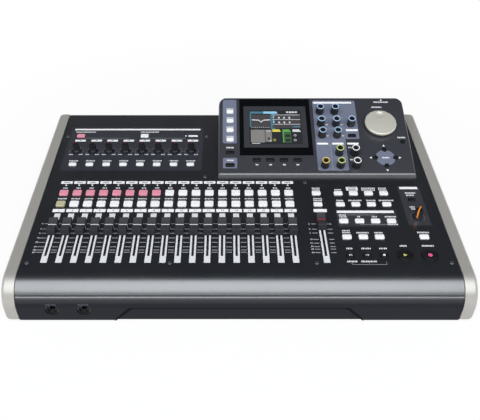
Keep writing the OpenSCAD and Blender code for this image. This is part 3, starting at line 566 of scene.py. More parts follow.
class RECORDER_OT_finishes(Operator):
    """Mixes every finish of the recorder"""

    bl_idname = "recorder.finishes"
    bl_label = "Mix finishes"

    PAINT_GRAIN, CASE_GRAIN, KEY_GRAIN, CAP_GRAIN = (1900, 2.5e-5), (1500, 3e-5), (2600, 1.5e-5), (3000, 1.5e-5)
    INK_CLOUD = (240, 0.05, 0.05)

    # Printed fields: left, right, lower and upper edge
    INPUT_FIELD = (-232, -47, 208.7, 308)
    LOCATE_FIELDS = [(117.6, 189.7, 101.5, 131.8), (201, 228, 103.3, 176.8)]
    POD_FIELDS = [((5.6, 24.3, 50.2, 127.4), 2.4), ((6.2, 24.7, 9, 26), 1.6), ((129.3, 188, 57.6, 126), 2.4),
                  ((129, 169, 5.5, 59), 2.4)]

    # Display colours of the encoders' dishes and of the screen
    DISHES = {"blue": (40, 48, 72), "yellow": (92, 66, 18), "green": (62, 70, 40), "white": (58, 60, 64)}
    SCREEN = {"dark": (40, 42, 46), "grey": (122, 120, 117), "slate": (68, 66, 68), "teal": (72, 112, 130),
              "blue": (140, 190, 218), "pale": (202, 204, 210), "yellow": (206, 194, 84), "green": (92, 152, 80),
              "moss": (58, 92, 58)}

    def add(self, name, colour, rough, cloud, grain=None, **more):
        """Mixes one finish from a setting or an 8 bit display colour."""
        made = Finish(name, srgb(*colour) if isinstance(colour, tuple) else tuple(colour), rough, **more).cloud(*cloud)
        FINISHES[name] = made.grain(*grain) if grain else made
        return made

    def execute(self, context):
        paint, keys, caps, knobs = (settings(group) for group in ("paint", "keys", "faders", "knobs"))
        add, ink = self.add, self.INK_CLOUD

        panel = add("panel_paint", paint.panel, 0.32, (9, 0.06, 0.03), self.PAINT_GRAIN,
                    specular=1.0, coat=0.5, coat_rough=0.18, ior=1.75)
        panel.set("Specular Tint", (0.95, 0.975, 1, 1))
        panel.patches(PANEL, [(self.INPUT_FIELD, 2, paint.patch)]
                      + [(field, 2, paint.locate_patch) for field in self.LOCATE_FIELDS])
        apron = add("apron_paint", (34, 36, 43), 0.45, (9, 0.06, 0.03), self.PAINT_GRAIN)
        height = apron.node("ShaderNodeSeparateXYZ", Vector=apron.coords).outputs["Z"]
        apron.set("Specular IOR Level", apron.node("ShaderNodeMapRange", Value=height, From_Min=0.0275, From_Max=0.0345,
                                                   To_Min=0.12, To_Max=0.7).outputs[0])
        pod = add("pod_paint", paint.pod, 0.34, (9, 0.05, 0.03), self.PAINT_GRAIN,
                  specular=1.0, coat=0.2, coat_rough=0.2, ior=1.6)
        round_field = (CURSOR[0] - CURSOR_R, CURSOR[0] + CURSOR_R, CURSOR[1] - CURSOR_R, CURSOR[1] + CURSOR_R)
        pod.patches(POD, [(field, r, paint.pod_patch) for field, r in self.POD_FIELDS + [(round_field, 12.5)]])
        add("cheek_paint", paint.cheek, 0.38, (14, 0.04, 0.04), (5200, 1.2e-5),
            metallic=0.34, specular=1.0, coat=0.3, coat_rough=0.3)
        add("tray_paint", (58, 58, 62), 0.5, (12, 0.06, 0.05), self.CASE_GRAIN)
        add("rear_paint", (38, 39, 43), 0.45, (12, 0.06, 0.05), self.CASE_GRAIN, coat=0.2)
        add("window_gloss", (11, 12, 15), 0.08, (30, 0.08, 0.02), coat=0.3, coat_rough=0.03)
        add("display_frame", (56, 58, 63), 0.3, (60, 0.05, 0.03))
        add("board_green", (30, 82, 52), 0.4, (60, 0.1, 0.05))
        add("control_metal", (150, 150, 152), 0.4, (80, 0.06, 0.06), metallic=0.8)
        add("socket_black", (30, 30, 33), 0.28, (60, 0.1, 0.05), (2600, 2e-5), specular=0.8)
        add("contact_metal", (196, 190, 176), 0.28, (150, 0.06, 0.05), metallic=1.0)
        add("screw_metal", (165, 165, 170), 0.26, (300, 0.08, 0.06), metallic=0.9)
        # Black for the strip numbers' print, and painted shade in the screws' cross recesses and along the undercut's
        # step.
        add("recess_black", (12, 12, 14), 0.6, (200, 0.1, 0.04), specular=0.1)
        add("rubber", (28, 28, 30), 0.75, (80, 0.1, 0.05), (2200, 4e-5))

        add("ink", paint.ink, 0.5, (240, 0.03, 0.05))
        add("legend", paint.legend, 0.5, (240, 0.04, 0.05))
        add("strip", paint.strip, 0.45, (160, 0.03, 0.05))
        for name, colour in {"tick": paint.tick, "dark_ink": (92, 93, 100), "apron_ink": (74, 77, 88)}.items():
            add(name, colour, 0.5, ink)
        for name, colour in {"symbol_play": (208, 212, 110), "symbol_record": (232, 92, 140)}.items():
            add(name, colour, 0.45, (240, 0.04, 0.05))

        for tone in ("white", "red", "olive"):
            silicone = add("key_" + tone, getattr(keys, tone), 0.5, (420, 0.025, 0.05), self.KEY_GRAIN)
            silicone.set("Subsurface Weight", 0.15)
            silicone.set("Subsurface Radius", (0.002, 0.002, 0.002))
            silicone.set("Subsurface Scale", 0.5)
        add("key_dark", keys.dark, 0.5, (300, 0.08, 0.05), self.KEY_GRAIN, specular=0.3)
        # The paler rear-half copy is painted light on the caps' rear slopes, not a second paint.
        for name, colour in {"cap_black": caps.cap, "cap_rear": caps.cap_rear}.items():
            add(name, colour, 0.5, (220, 0.06, 0.05), self.CAP_GRAIN, specular=0.1)
        add("master_line", caps.master_line, 0.45, ink)
        add("knob_black", knobs.knob, 0.3, (260, 0.08, 0.05), (3000, 1.2e-5))
        for name, colour in {"trim_pointer": knobs.pointer, "phones_pointer": knobs.phones}.items():
            add(name, colour, 0.4, (260, 0.05, 0.05))
        for tone, rgb in self.DISHES.items():
            add("ring_" + tone, getattr(knobs, tone), 0.35, (300, 0.04, 0.05))
            add("dish_" + tone, rgb, 0.3, (300, 0.06, 0.05))
        add("jog_paint", knobs.jog, 0.36, (40, 0.02, 0.04), metallic=0.4).rings(POD, JOG, 0.32, 4e-6)
        add("jog_side", (76, 76, 76), 0.4, (60, 0.05, 0.05), metallic=0.3)
        for tone, rgb in self.SCREEN.items():
            lit = add("screen_" + tone, rgb, 0.25, (200, 0.04, 0.03), coat=0.3)
            lit.set("Emission Color", (*srgb(*rgb), 1))
            lit.set("Emission Strength", 0.2)
        return {"FINISHED"}


class RECORDER_OT_case(Operator):
    """Gives the CAD nodes of the case their finishes"""

    bl_idname = "recorder.case"
    bl_label = "Finish the case"

    NODES = {"base_tray": "tray_paint", "rear_panel": "rear_paint", "top_panel": "panel_paint",
             "front_apron": "apron_paint", "pod_housing": "pod_paint",
             "display_window": "window_gloss", "lcd_module": "display_frame", "circuit_boards": "board_green",
             "control_units": "control_metal", "sockets": "socket_black", "feet": "rubber"}

    def execute(self, context):
        for node, name in self.NODES.items():
            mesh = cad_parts[node].data
            mesh.materials.clear()
            mesh.materials.append(FINISHES[name].material)
        return {"FINISHED"}


class RECORDER_OT_cheeks(Operator):
    """Lofts the side cheeks: the side outline, drawn in towards the outer face so that each outer edge is round"""

    bl_idname = "recorder.cheeks"
    bl_label = "Side cheeks"

    STATIONS = np.array([CHEEK_W, 8, 7, 6, 5, 4.2, 3.5, 2.8, 2.2, 1.6, 1.1, 0.7, 0.4, 0.2, 0.07, 0])

    def drawn_in(self, radius):
        """Inset at each station w from the outer face: r - sqrt(r^2 - (r - w)^2) inside the radius, else none."""
        r = in_mm(radius)
        reach = np.clip(r - self.STATIONS, 0, r)
        return (r - np.sqrt(r * r - reach * reach))[:, None]

    def execute(self, context):
        case = settings("case")
        low, high = (np.array(corner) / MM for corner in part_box("side_cheeks"))
        edge, foot, back = (self.drawn_in(r) for r in (case.cheek_edge, case.cheek_foot, case.cheek_rear))
        c, s = math.cos(math.radians(PANEL_TILT)), math.sin(math.radians(PANEL_TILT))
        r, nose = ROLL_R + CHEEK_PROUD - edge, in_mm(case.nose_foot)
        bottom, rear = low[2] + foot, high[1] - back

        under = np.radians(np.linspace(180, 270, 7))
        under_z = (bottom - AXIS_Z + r * s) / c
        top = np.linspace(1, 0, 9)[:-1] * (rear - ROLL_Y + r * s) / c
        over = np.radians(np.linspace(90, 180, 25))
        across = np.hstack([-r + nose + nose * np.cos(under), top, r * np.cos(over)])
        up = np.hstack([under_z + nose + nose * np.sin(under), r + 0 * top, r * np.sin(over)])
        y, z = ROLL_Y + across * c - up * s, AXIS_Z + across * s + up * c
        y, z = (np.insert(p, len(under), q.T, axis=1) for p, q in ((y, rear), (z, bottom)))
        x = np.broadcast_to((high[0] - self.STATIONS)[:, None], y.shape)

        points, faces = skin(np.stack([x, y, z], -1))
        left = (points * (-1, 1, 1), [f[::-1] for f in faces])
        assemble("cheek_pair", WORLD, [((points, faces), "cheek_paint"), (left, "cheek_paint")],
                 "case", "side_cheeks")
        return {"FINISHED"}


class RECORDER_OT_seam(Operator):
    """Rolls the apron's lip, a bead that runs on down the roll, lays a black line round its undercut for the gap there
    and painted shade in it, marks its jacks
    """

    bl_idname = "recorder.seam"
    bl_label = "Seam lip and undercut"

    SIDE_GAP = 0.05
    LIFT, SINK = 0.08, 0.3
    BEAD_TURN, CORNER_TURN = 72, 46
    CORNER_R, CORNER_IN = 9.0, 7.0
    # Width, inner and outer reach of the black line along the undercut's step: a gap with painted shade in it.
    GROOVE_W, GROOVE_IN, GROOVE_OUT = 0.16, -1.5, 0.4

    def execute(self, context):
        a = math.radians(SEAM_ANGLE - PANEL_TILT) - SEAM_GAP / ROLL_R
        r, end = in_mm(settings("case").bead), in_mm(settings("case").lip) / ROLL_R
        bead, run = np.radians(np.linspace(0, self.BEAD_TURN, 8)), np.linspace(r / ROLL_R, end, 7)
        out = np.vstack([np.c_[np.sin(bead), -np.cos(bead)], np.c_[np.cos(run), np.sin(run)]])
        line = np.vstack([out[:8] * r + (ROLL_R - r, r), out[8:] * ROLL_R])
        lift = np.r_[np.full(14, self.LIFT), 0][:, None]
        ring = np.vstack([line + lift * out, (line - self.SINK * out)[::-1]])
        ring = ring @ np.array([[-math.cos(a), math.sin(a)], [-math.sin(a), -math.cos(a)]]) + (ROLL_Y, AXIS_Z)
        half = PANEL_W / 2 - self.SIDE_GAP
        ends = [np.c_[np.full(len(ring), x), ring] for x in (-half, half)]
        assemble("apron_lip", WORLD, [(skin(np.array(ends)), "panel_paint")], "case")

        a = np.radians(np.linspace(0, self.CORNER_TURN, 9))
        fade = np.linspace(0.5, 1, 9)
        corner = np.c_[UNDERCUT_TOP - self.CORNER_IN + self.CORNER_R * np.sin(a),
                       UNDERCUT_Z - self.CORNER_R + self.CORNER_R * np.cos(a), fade * np.sin(a), fade * np.cos(a)]
        foot = [(UNDERCUT_BOTTOM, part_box("front_apron")[0][2] / MM, 1 / np.sin(a[-1]), 0)]
        # Painted shade: a thin black strip on the undercut face along its step stands for the gap there and the shade
        # that falls in it.
        gap_and_shade_line = band(mirrored(np.vstack([corner, foot])[::-1]), self.GROOVE_W, self.GROOVE_IN, self.GROOVE_OUT)
        face = (ROLL[0] - ROLL[1][1] * (ROLL_R - UNDERCUT_DEPTH) - (0, 0, AXIS_Z), ROLL[1])
        assemble("undercut_groove", face, [(gap_and_shade_line, "recess_black")], "case")

        up = math.radians(JACK_MARK)
        face = slope((0, ROLL_Y - ROLL_R * math.cos(up), AXIS_Z + ROLL_R * math.sin(up)), 90 - JACK_MARK)
        assemble("jack_marks", face, [(legends(along(FRONT_JACKS, 0, 12, 1.5)), "apron_ink")], "case")
        return {"FINISHED"}


class RECORDER_OT_panel_prints(Operator):
    """Prints the strips, bars, ticks and numbers of the panel"""

    bl_idname = "recorder.panel_prints"
    bl_label = "Panel prints"

    # Ends, height up the panel and length of each field
    BARS = [(-228, -51.3, 303, 3.4), (-67.3, -54.7, 287.1, 4)]
    RIGHT_BARS = [(118.9, 187.6, 127.6, 4.2), (203.4, 225.8, 172.8, 4.4), (136.1, 150.6, 171.4, 7)]
    LEGENDS = [
        (-225.5, -198, 296.6, 2.2), (-135.5, -109.5, 296.6, 2.2), (92.8, 102.9, 172.4, 2), (92.8, 102.9, 168.9, 2),
        (92.4, 103.6, 152.2, 2), (92.4, 103.6, 148.7, 2), (120.8, 129.4, 169.4, 2.1), (155.2, 172.6, 172.4, 2),
        (154.8, 172.2, 168.9, 2), (176.4, 186.7, 172.4, 2), (176, 187, 168.9, 2), (120.6, 129.2, 148.6, 2.1),
        (135.4, 152, 148.6, 2.1), (157.5, 169.2, 148.6, 2.1), (172.9, 191.2, 148.6, 2.1), (120.2, 129.2, 121.7, 1.9),
        (120.2, 129.6, 118.4, 1.9), (141.8, 145.6, 118.7, 2), (159.3, 165.9, 118.7, 2), (174.8, 189, 118.7, 2),
        (175.9, 188.3, 105.2, 2), (120.6, 130.1, 94.4, 1.9), (120.2, 130, 91, 1.9), (136.5, 151.6, 90.8, 2.1),
        (157.5, 167.9, 90.8, 2.1), (207.6, 221.6, 91.2, 2.1), (182.8, 190.8, 69.1, 2.2), (207.9, 222.1, 69.1, 2.2),
        (121.3, 128.6, 64.8, 2.1), (138.3, 149.6, 64.8, 2.1), (158.7, 167.8, 64.8, 2.1), (119.6, 131.2, 44.4, 2.1),
        (135.1, 152.8, 44.4, 2.1), (208.3, 221.7, 163, 2.2), (208.8, 218.9, 158.8, 2.2), (208.2, 215, 136.4, 2),
        (209.6, 214.8, 132.9, 2)]
    THIN = [(-212.4, -149.9, 281.9, 0.5), (-127.7, -70.8, 281.9, 0.5), (130.4, 163.5, 122, 0.5),
            (144, 175.3, 105.2, 0.5), (124.8, 163.4, 39.8, 0.5)]
    DROPS = [(124.9, 41.3, 0.5, 3), (144.1, 41.3, 0.5, 3), (163.3, 42, 0.5, 4.4), (144.1, 106.4, 0.5, 2.4)]
    NAMES = [(138, 149, 173, 1.4), (138, 148, 170, 1.4)]

    # Scale marks of the faders, and how far up the panel each stands
    SCALE = ["6", "0", "5", "10", "20", "30", "40", "60"]
    CHANNEL_MARKS = [106.4, 97.2, 90, 82, 74.8, 67.6, 62.5, 58.8]
    MASTER_MARKS = [105.9, 96.9, 90.4, 79.7, 73.5, 67.9, 63.8, 58.3]
    SCALE_OUT, SCALE_SIZE, NUMBER_SIZE = 14.2, 3.3, 4.4
    TICK_L, MASTER_TICK_L = 0.95, 1.15
    STRIP_S, STRIP_W, STRIP_L = 83.5, 7.1, 82
    PLATE_S, NAME_S, TRIM_NAME_S, TRIM_NAME_X = 129.9, 183.9, 276, 1.2
    LAMP_S, LAMP_R, LAMP_H = 178.2, 1.15, 0.5
    TRIM_PIPS, PHONES_PIPS, PIP_R = 9.5, 8.2, 0.5

    def execute(self, context):
        white = along(CHANNELS, self.NAME_S, 14.4, 5) + along(CHANNELS, self.PLATE_S, 14.6, 5.6)
        white += spans([(91, 107, self.PLATE_S, 5.6)] + self.BARS)
        white += along(TRIMS + self.TRIM_NAME_X, self.TRIM_NAME_S, 14.4, 4.2) + spans(self.RIGHT_BARS)
        lamps = np.vstack([flat_places(CHANNELS, self.LAMP_S), flat_places(-71, 287.1)])

        small = along(CHANNELS, 172.8, 5.8, 1.9) + along(CHANNELS, 152, 11, 2) + along(TRIMS, 229.6, 12, 2.2)
        small += along(TRIMS - 6.6, 243.8, 5.6, 1.5) + along(TRIMS + 6.6, 243.8, 5.4, 1.5)
        small += spans(self.LEGENDS)
        thin = spans(self.THIN) + self.DROPS

        wide = np.r_[7.6, np.full(len(CHANNELS) - 1, 6.6)]
        lines = [(x, s, w, self.TICK_L) for s in self.CHANNEL_MARKS for x, w in zip(CHANNELS - 8.25, wide)]
        lines += [(MASTER_X + side, s, 6, self.MASTER_TICK_L) for s in self.MASTER_MARKS for side in (-8.6, 9.4)]
        strips = frames(along(np.r_[CHANNELS, MASTER_X], self.STRIP_S, self.STRIP_W, self.STRIP_L),
                        (SLOT_W, SLOT_L, FADER_S - self.STRIP_S))
        scales = ((CHANNELS[0], self.CHANNEL_MARKS), (MASTER_X, self.MASTER_MARKS))
        marks = [(text, x - self.SCALE_OUT, s) for x, heights in scales for text, s in zip(self.SCALE, heights)]
        numbers = [(str(i + 1), x, self.PLATE_S) for i, x in enumerate(CHANNELS)]

        angles = np.radians(np.arange(-120, 121, 24) + 90)
        ring = np.c_[np.cos(angles), np.sin(angles), 0 * angles]
        pips = np.vstack([ring * self.TRIM_PIPS + (x, TRIM_S, 0) for x in TRIMS]
                         + [ring * self.PHONES_PIPS + (*PHONES, 0)])
        names = along(CHANNELS, self.NAME_S, 7.5, 1.3) + along(TRIMS + self.TRIM_NAME_X, self.TRIM_NAME_S, 3, 1.3)
        names += spans(self.NAMES)

        pale = {"panel_strips": [(plates(white), "ink"), (dots(lamps, self.LAMP_R, self.LAMP_H), "ink")],
                "fader_strips": [(strips, "strip")],
                "panel_legends": [(legends(small), "legend"), (plates(thin, high=LINE_H), "tick"),
                                  (dots(pips, self.PIP_R, LINE_H, 8), "tick"),
                                  (figures(marks, self.SCALE_SIZE, LINE_H), "legend")],
                "fader_ticks": [(plates(lines, high=LINE_H), "tick")]}
        for name, parts in pale.items():
            assemble(name, PANEL, parts, "case")
        dark = [(figures(numbers, self.NUMBER_SIZE, 0.09), "recess_black"), (plates(names, high=0.1), "dark_ink")]
        assemble("strip_numbers", PANEL, dark, "case")
        return {"FINISHED"}


class RECORDER_OT_pod_prints(Operator):
    """Prints the bars, legends and marks of the pod"""

    bl_idname = "recorder.pod_prints"
    bl_label = "Pod prints"

    BARS = [(130.6, 183.3, 122, 3), (130.7, 145.3, 49.7, 3), (150.6, 165.8, 49.7, 3), (170.8, 185.7, 49.7, 3),
            (171.4, 187, 72.8, 3.2)]
    LETTER = 1.5
    TRIANGLE = np.array([(0, 1.9), (-1.7, -1.2), (1.7, -1.2)])
    ARROWS = [(0, CURSOR[0], 46.4), (180, CURSOR[0], 6.1), (90, 199.2, CURSOR[1]), (-90, 237.1, CURSOR[1]),
              (0, 225, 127)]

    def execute(self, context):
        small = [(10.5, 20.5, 61.8 + 16.3 * i, 1.8) for i in range(4)] + [(10.4, 20.4, 43, 2), (11, 20, 22, 2)]
        small += [(48.4 + 17.63 * i, 52.2 + 17.63 * i, 14.9, 2) for i in range(4)]
        small += [(210, 224.5, 113.7, 2), (214, 234.7, 123, 2), (238, 249, 60, 2), (213.4, 223.4, CURSOR[1], 2)]
        small += [(u + 6.4, u + 9.8, v, 1.5) for u in ENCODER_U[:2] for v in ENCODER_V[2:4]]
        small += [(171.3, 175.6, v, 1.8) for v in (43, 23)]
        lines = spans([(132, 186, 95, 0.4), (132, 168, 75, 0.4)]) + [(148.2, 28, 0.5, 42)]
        arrow = prism(self.TRIANGLE, SUNK, LEGEND_H)
        arrows = [(repeat(turned(arrow, angle), [(u, v, 0)]), "legend") for angle, u, v in self.ARROWS]
        marks = [(legends(spans(small), self.LETTER), "legend"), (plates(lines, high=LINE_H), "tick")] + arrows
        assemble("pod_bars", POD, [(plates(spans(self.BARS)), "ink")], "case")
        assemble("pod_legends", POD, marks, "case")
        return {"FINISHED"}


class RECORDER_OT_keys(Operator):
    """Moulds the keys: a straight side, a rolled edge and a low crown"""

    bl_idname = "recorder.keys"
    bl_label = "Keys"

    COLUMN_U, COLUMN_V, COLUMN_PITCH = 15.5, 56.3, 16.3
    TRIANGLE = np.array([(-1.3, -1.5), (1.4, 0), (-1.3, 1.5)])
    DISH, SYMBOL_IN, SYMBOL_H = 0.9, 0.4, 0.46
    CHANNEL_KEY, COMMAND_KEY, SOURCE_KEY, MONITOR_KEY = (10.8, 10), (10.8, 7), (9.8, 5.8), (8.8, 5)
    COLUMN_KEY, BAR_KEY, MENU_KEY = (9.5, 6), (10.5, 5), (11.5, 5.5)
    CURSOR_DIA, SMALL_DIA, LARGE_DIA = 6, 10, 18.5

    def execute(self, context):
        keys = settings("keys")
        height, corner = in_mm(keys.height), in_mm(keys.corner)

        def block(w, l, skin_t):
            return pillow(w, l, corner, [(0, -skin_t), (0, height - 0.55), (0.08, height - 0.28), (0.26, height - 0.1),
                                         (0.55, height), (1.2, height + 0.06), (l * 0.42, height + 0.12)])

        def disc(dia, skin_t, dish=0.0):
            r = dia / 2
            return lathe([(r, -skin_t), (r, height - 0.5), (r - 0.1, height - 0.2), (r - 0.4, height),
                          (r * 0.7, height - dish * 0.6), (r * 0.3, height - dish)], 48)

        def row(tone, size, spots, skin_t=PANEL_T):
            return repeat(block(*size, skin_t), spots), "key_" + tone

        def bank(name, place, parts):
            assemble(name + "_key_set", place, parts, name + "_keys", name + "_keys")

        arm, select = flat_places(CHANNELS, ARM_S), flat_places(CHANNELS, SELECT_S)
        masters = np.vstack([flat_places(MASTER_X, s) for s in COMMAND_ROWS[2:]])
        rows = (("red", arm[:8]), ("white", arm[8:]), ("olive", select[:1]), ("white", select[1:]))
        bank("channel", PANEL, [row(tone, self.CHANNEL_KEY, spots) for tone, spots in rows]
             + [row("white", self.COMMAND_KEY, masters)])
        phantom = flat_places(TRIMS[[0, 4]], PHANTOM_S)
        bank("input", PANEL, [row("red", self.COMMAND_KEY, phantom[:1]), row("white", self.COMMAND_KEY, phantom[1:]),
                              row("white", self.SOURCE_KEY, flat_places(TRIMS, SOURCE_S))])
        commands = np.vstack([flat_places(COMMANDS, s) for s in COMMAND_ROWS[1:]]
                             + [flat_places(np.r_[COMMANDS[:3], RIGHT_X], COMMAND_ROWS[0])])
        bank("command", PANEL, [row("white", self.COMMAND_KEY, commands),
                                row("dark", self.MONITOR_KEY, flat_places(RIGHT_X, MONITOR_S))])

        column = [(self.COLUMN_U, self.COLUMN_V + self.COLUMN_PITCH * k, 0) for k in range(4)]
        bars = np.vstack([flat_places(50.3 + 17.63 * np.arange(4), 22.5),
                          [(self.COLUMN_U, 34.5, 0), (ENCODER_U[2], 63.1, 0)]])
        turn = np.radians([0, 90, 180, 270])
        cursor = np.c_[CURSOR[0] + CURSOR_ARM * np.cos(turn), CURSOR[1] + CURSOR_ARM * np.sin(turn), np.zeros(4)]
        discs = repeat(disc(self.CURSOR_DIA, POD_T), np.vstack([cursor, [(*RETURN_KEY, 0)]]))
        bank("pod", POD, [row("white", self.COLUMN_KEY, column, POD_T), row("dark", self.BAR_KEY, bars, POD_T),
                          row("dark", self.MENU_KEY, [(self.COLUMN_U, 14, 0)], POD_T), (discs, "key_dark")])

        low = height - self.DISH - self.SYMBOL_IN
        top = low + self.SYMBOL_H

        def arrow(x, scale, flip=1):
            return prism((self.TRIANGLE * scale * (flip, 1))[::flip] + (x, TRANSPORT_S), low, top)

        parts = [(repeat(disc(dia, PANEL_T, self.DISH), flat_places(xs, TRANSPORT_S)), "key_dark")
                 for dia, xs in ((self.SMALL_DIA, COMMANDS[:3]), (self.LARGE_DIA, (PLAY_X, RIGHT_X)))]
        parts += [(arrow(COMMANDS[k] + d, 0.85, flip), "ink") for k, flip in ((0, -1), (1, 1)) for d in (-1.3, 1.3)]
        parts += [(plates([(COMMANDS[2], TRANSPORT_S, 2.6, 2.6)], low, top), "ink"),
                  (arrow(PLAY_X, 1.5), "symbol_play"),
                  (repeat(lathe([(2.6, low), (2.6, top)], 32), flat_places(RIGHT_X, TRANSPORT_S)), "symbol_record")]
        bank("transport", PANEL, parts)

        standby = pillow(10, 6, 1, [(0, -8), (0, 1), (0.15, 1.35), (0.5, 1.5)])
        standby = [(repeat(standby, [(-STANDBY_X, 0, 0)]), "key_dark")]
        assemble("standby_cap", REAR, standby, "standby_button", "standby_button")
        return {"FINISHED"}


class RECORDER_OT_faders(Operator):
    """Shapes the fader caps: a dished side profile carried across the cap, narrower at its top"""

    bl_idname = "recorder.faders"
    bl_label = "Faders"

    LEAN = 0.3
    HOVER = 0.8
    LINE_FOOT, LINE_TURN = 1.2, 0.35
    MASTER_LINE = 1.5
    LEVER_W, LEVER_L, LEVER_LOW, LEVER_HIGH = 1.2, 4, -8.2, 5.2
    EDGE = 0.35

    def execute(self, context):
        caps = settings("faders")
        half_l, half_w, high = in_mm(caps.cap_length) / 2, in_mm(caps.cap_width) / 2, in_mm(caps.cap_height)
        dish, ridge, line = in_mm(caps.dish), in_mm(caps.ridge), in_mm(caps.line)

        def side_at(z):
            return half_w - self.LEAN * (z - self.HOVER) / high

        def across(profile):
            """Carries a closed side profile across the cap, from one leaning side to the other"""
            n = len(profile)
            i = np.arange(n)
            j = (i + 1) % n
            faces = np.stack([i, j, j + n, i + n], -1).tolist() + [i[::-1].tolist(), (i + n).tolist()]
            sides = [np.c_[side * side_at(profile[:, 1]), profile] for side in (-1, 1)]
            return np.vstack(sides), [f[::-1] for f in faces]

        y = np.linspace(1, 0, 9)
        hollow = np.c_[y * (half_l - ridge), high - dish * (1 - y ** 2)]
        ends = np.array([(half_l, self.HOVER), (half_l - 0.2, high - 0.9), (half_l - 0.9, high)])
        half = np.vstack([ends, hollow, [(0, self.HOVER)]])
        rear, front = across(half), across(half[::-1] * (-1, 1))

        foot, bend, top = self.LINE_FOOT, self.LINE_TURN, high - dish
        path = mirrored([(side_at(foot), foot, 1, 0.03), (side_at(top), top - bend, 1, 0.2),
                         (side_at(top) - bend, top, 0.2, 1)])
        thin, thick = (band(path, w, -0.5, 0.05) for w in (line, self.MASTER_LINE * line))
        lever = plates([(0, 0, self.LEVER_W, self.LEVER_L)], self.LEVER_LOW, self.LEVER_HIGH)

        faders = [("channel_fader_%d" % (k + 1), x, FADER_REST, thin, "strip") for k, x in enumerate(CHANNELS)]
        for node, x, rest, mark, tone in faders + [("master_fader", MASTER_X, FADER_TRAVEL / 2, thick, "master_line")]:
            # The rear half takes the paler copy of the cap colour: painted light on that slope.
            parts = [(rear, "cap_rear"), (front, "cap_black"), (mark, tone), (lever, "contact_metal")]
            control(node, "_cap", PANEL, parts, (x, FADER_S + rest), self.EDGE)
        return {"FINISHED"}


class RECORDER_OT_knobs(Operator):
    """Turns the trim knobs and the phones knob: a skirt and a fluted grip with a pointer"""

    bl_idname = "recorder.knobs"
    bl_label = "Trim and phones knobs"

    STEM = 6.9

    def execute(self, context):
        grip = lathe([(6.5, 0.8), (6.6, 1.4), (6.4, 2.2), (5.5, 2.7), (5.2, 3.1, 0.9), (4.25, 10.4, 0.8),
                      (4.1, 11, 0.5), (3.8, 11.4, 0.1), (3, 11.5), (1, 11.4)], 96, 10)
        pointer = plates([(0, 2.5, 0.75, 2.8)], low=11, high=11.6)
        parts = [(grip, "knob_black"), (pointer, "trim_pointer"), stem(self.STEM)]
        for k, x in enumerate(TRIMS):
            control("trim_knob_%d" % (k + 1), "_grip", PANEL, parts, (x, TRIM_S))

        body = lathe([(5.7, 0.8), (5.9, 1.4), (5.8, 2.6), (5.3, 3.2, 0.3), (4.5, 11, 0.3), (4.1, 11.8),
                      (1, 11.8)], 96, 16)
        fin = pillow(3.2, 11, 1.2, [(0, 3), (0.25, 12.6), (0.5, 13.3), (0.9, 13.4)])
        path = mirrored([(5.55, 3.4, 1, 0.03), (5.3, 12.6, 1, 0.15), (4.7, 13.35, 0.2, 1)])
        blade = turned(band(path, 1.7, -0.3, 0.12), 90)
        parts = [(body, "knob_black"), (fin, "knob_black"), (blade, "phones_pointer"), stem(self.STEM)]
        parts = [(turned(shape, PHONES_REST), tone) for shape, tone in parts]
        control("phones_knob", "_grip", PANEL, parts, PHONES)
        return {"FINISHED"}


class RECORDER_OT_encoders(Operator):
    """Turns the encoder knobs: a waisted ribbed body, a coloured rim and a dished top"""

    bl_idname = "recorder.encoders"
    bl_label = "Encoders"

    PLACES = [(0, 4), (1, 4), (0, 3), (1, 3), (2, 3), (0, 2), (1, 2), (0, 0), (1, 1), (1, 0), (2, 1), (2, 0)]
    TONES = ["blue"] * 7 + ["yellow"] + ["green"] * 2 + ["white"] * 2
    STEM = 7.5
    RIM_R, RIM_Z, RIM_WIDE, RIM_HIGH = 4.35, 12.85, 0.58, 0.62
    RIM_COUNT, RIM_TURNS = 14, 48

    def execute(self, context):
        body = lathe([(5.1, 0.8), (5.35, 1.3), (5.3, 2.4, 0.25), (4.9, 8, 0.25), (4.75, 11.6, 0.2), (4.8, 12.3),
                      (4.4, 12.5), (1, 12.5)], 96, 18)
        n, turns = self.RIM_COUNT, self.RIM_TURNS
        t = np.linspace(0, 2 * np.pi, n, endpoint=False)
        turn = np.arange(turns) * 2 * np.pi / turns
        r = (self.RIM_R + self.RIM_WIDE * np.cos(t))[:, None]
        z = np.broadcast_to((self.RIM_Z + self.RIM_HIGH * np.sin(t))[:, None], (n, turns))
        torus = np.stack([r * np.cos(turn), r * np.sin(turn), z], -1).reshape(-1, 3)
        rim = (torus, (grid_faces(n + 1, turns) % (n * turns)).tolist())
        dish = lathe([(4, 12), (3.9, 12.7), (2.5, 12.5), (0.8, 12.45)], 48)
        for k, ((c, r), tone) in enumerate(zip(self.PLACES, self.TONES)):
            parts = [(body, "knob_black"), (rim, "ring_" + tone), (dish, "dish_" + tone), stem(self.STEM)]
            control("encoder_knob_%d" % (k + 1), "_grip", POD, parts, (ENCODER_U[c], ENCODER_V[r]))
        return {"FINISHED"}


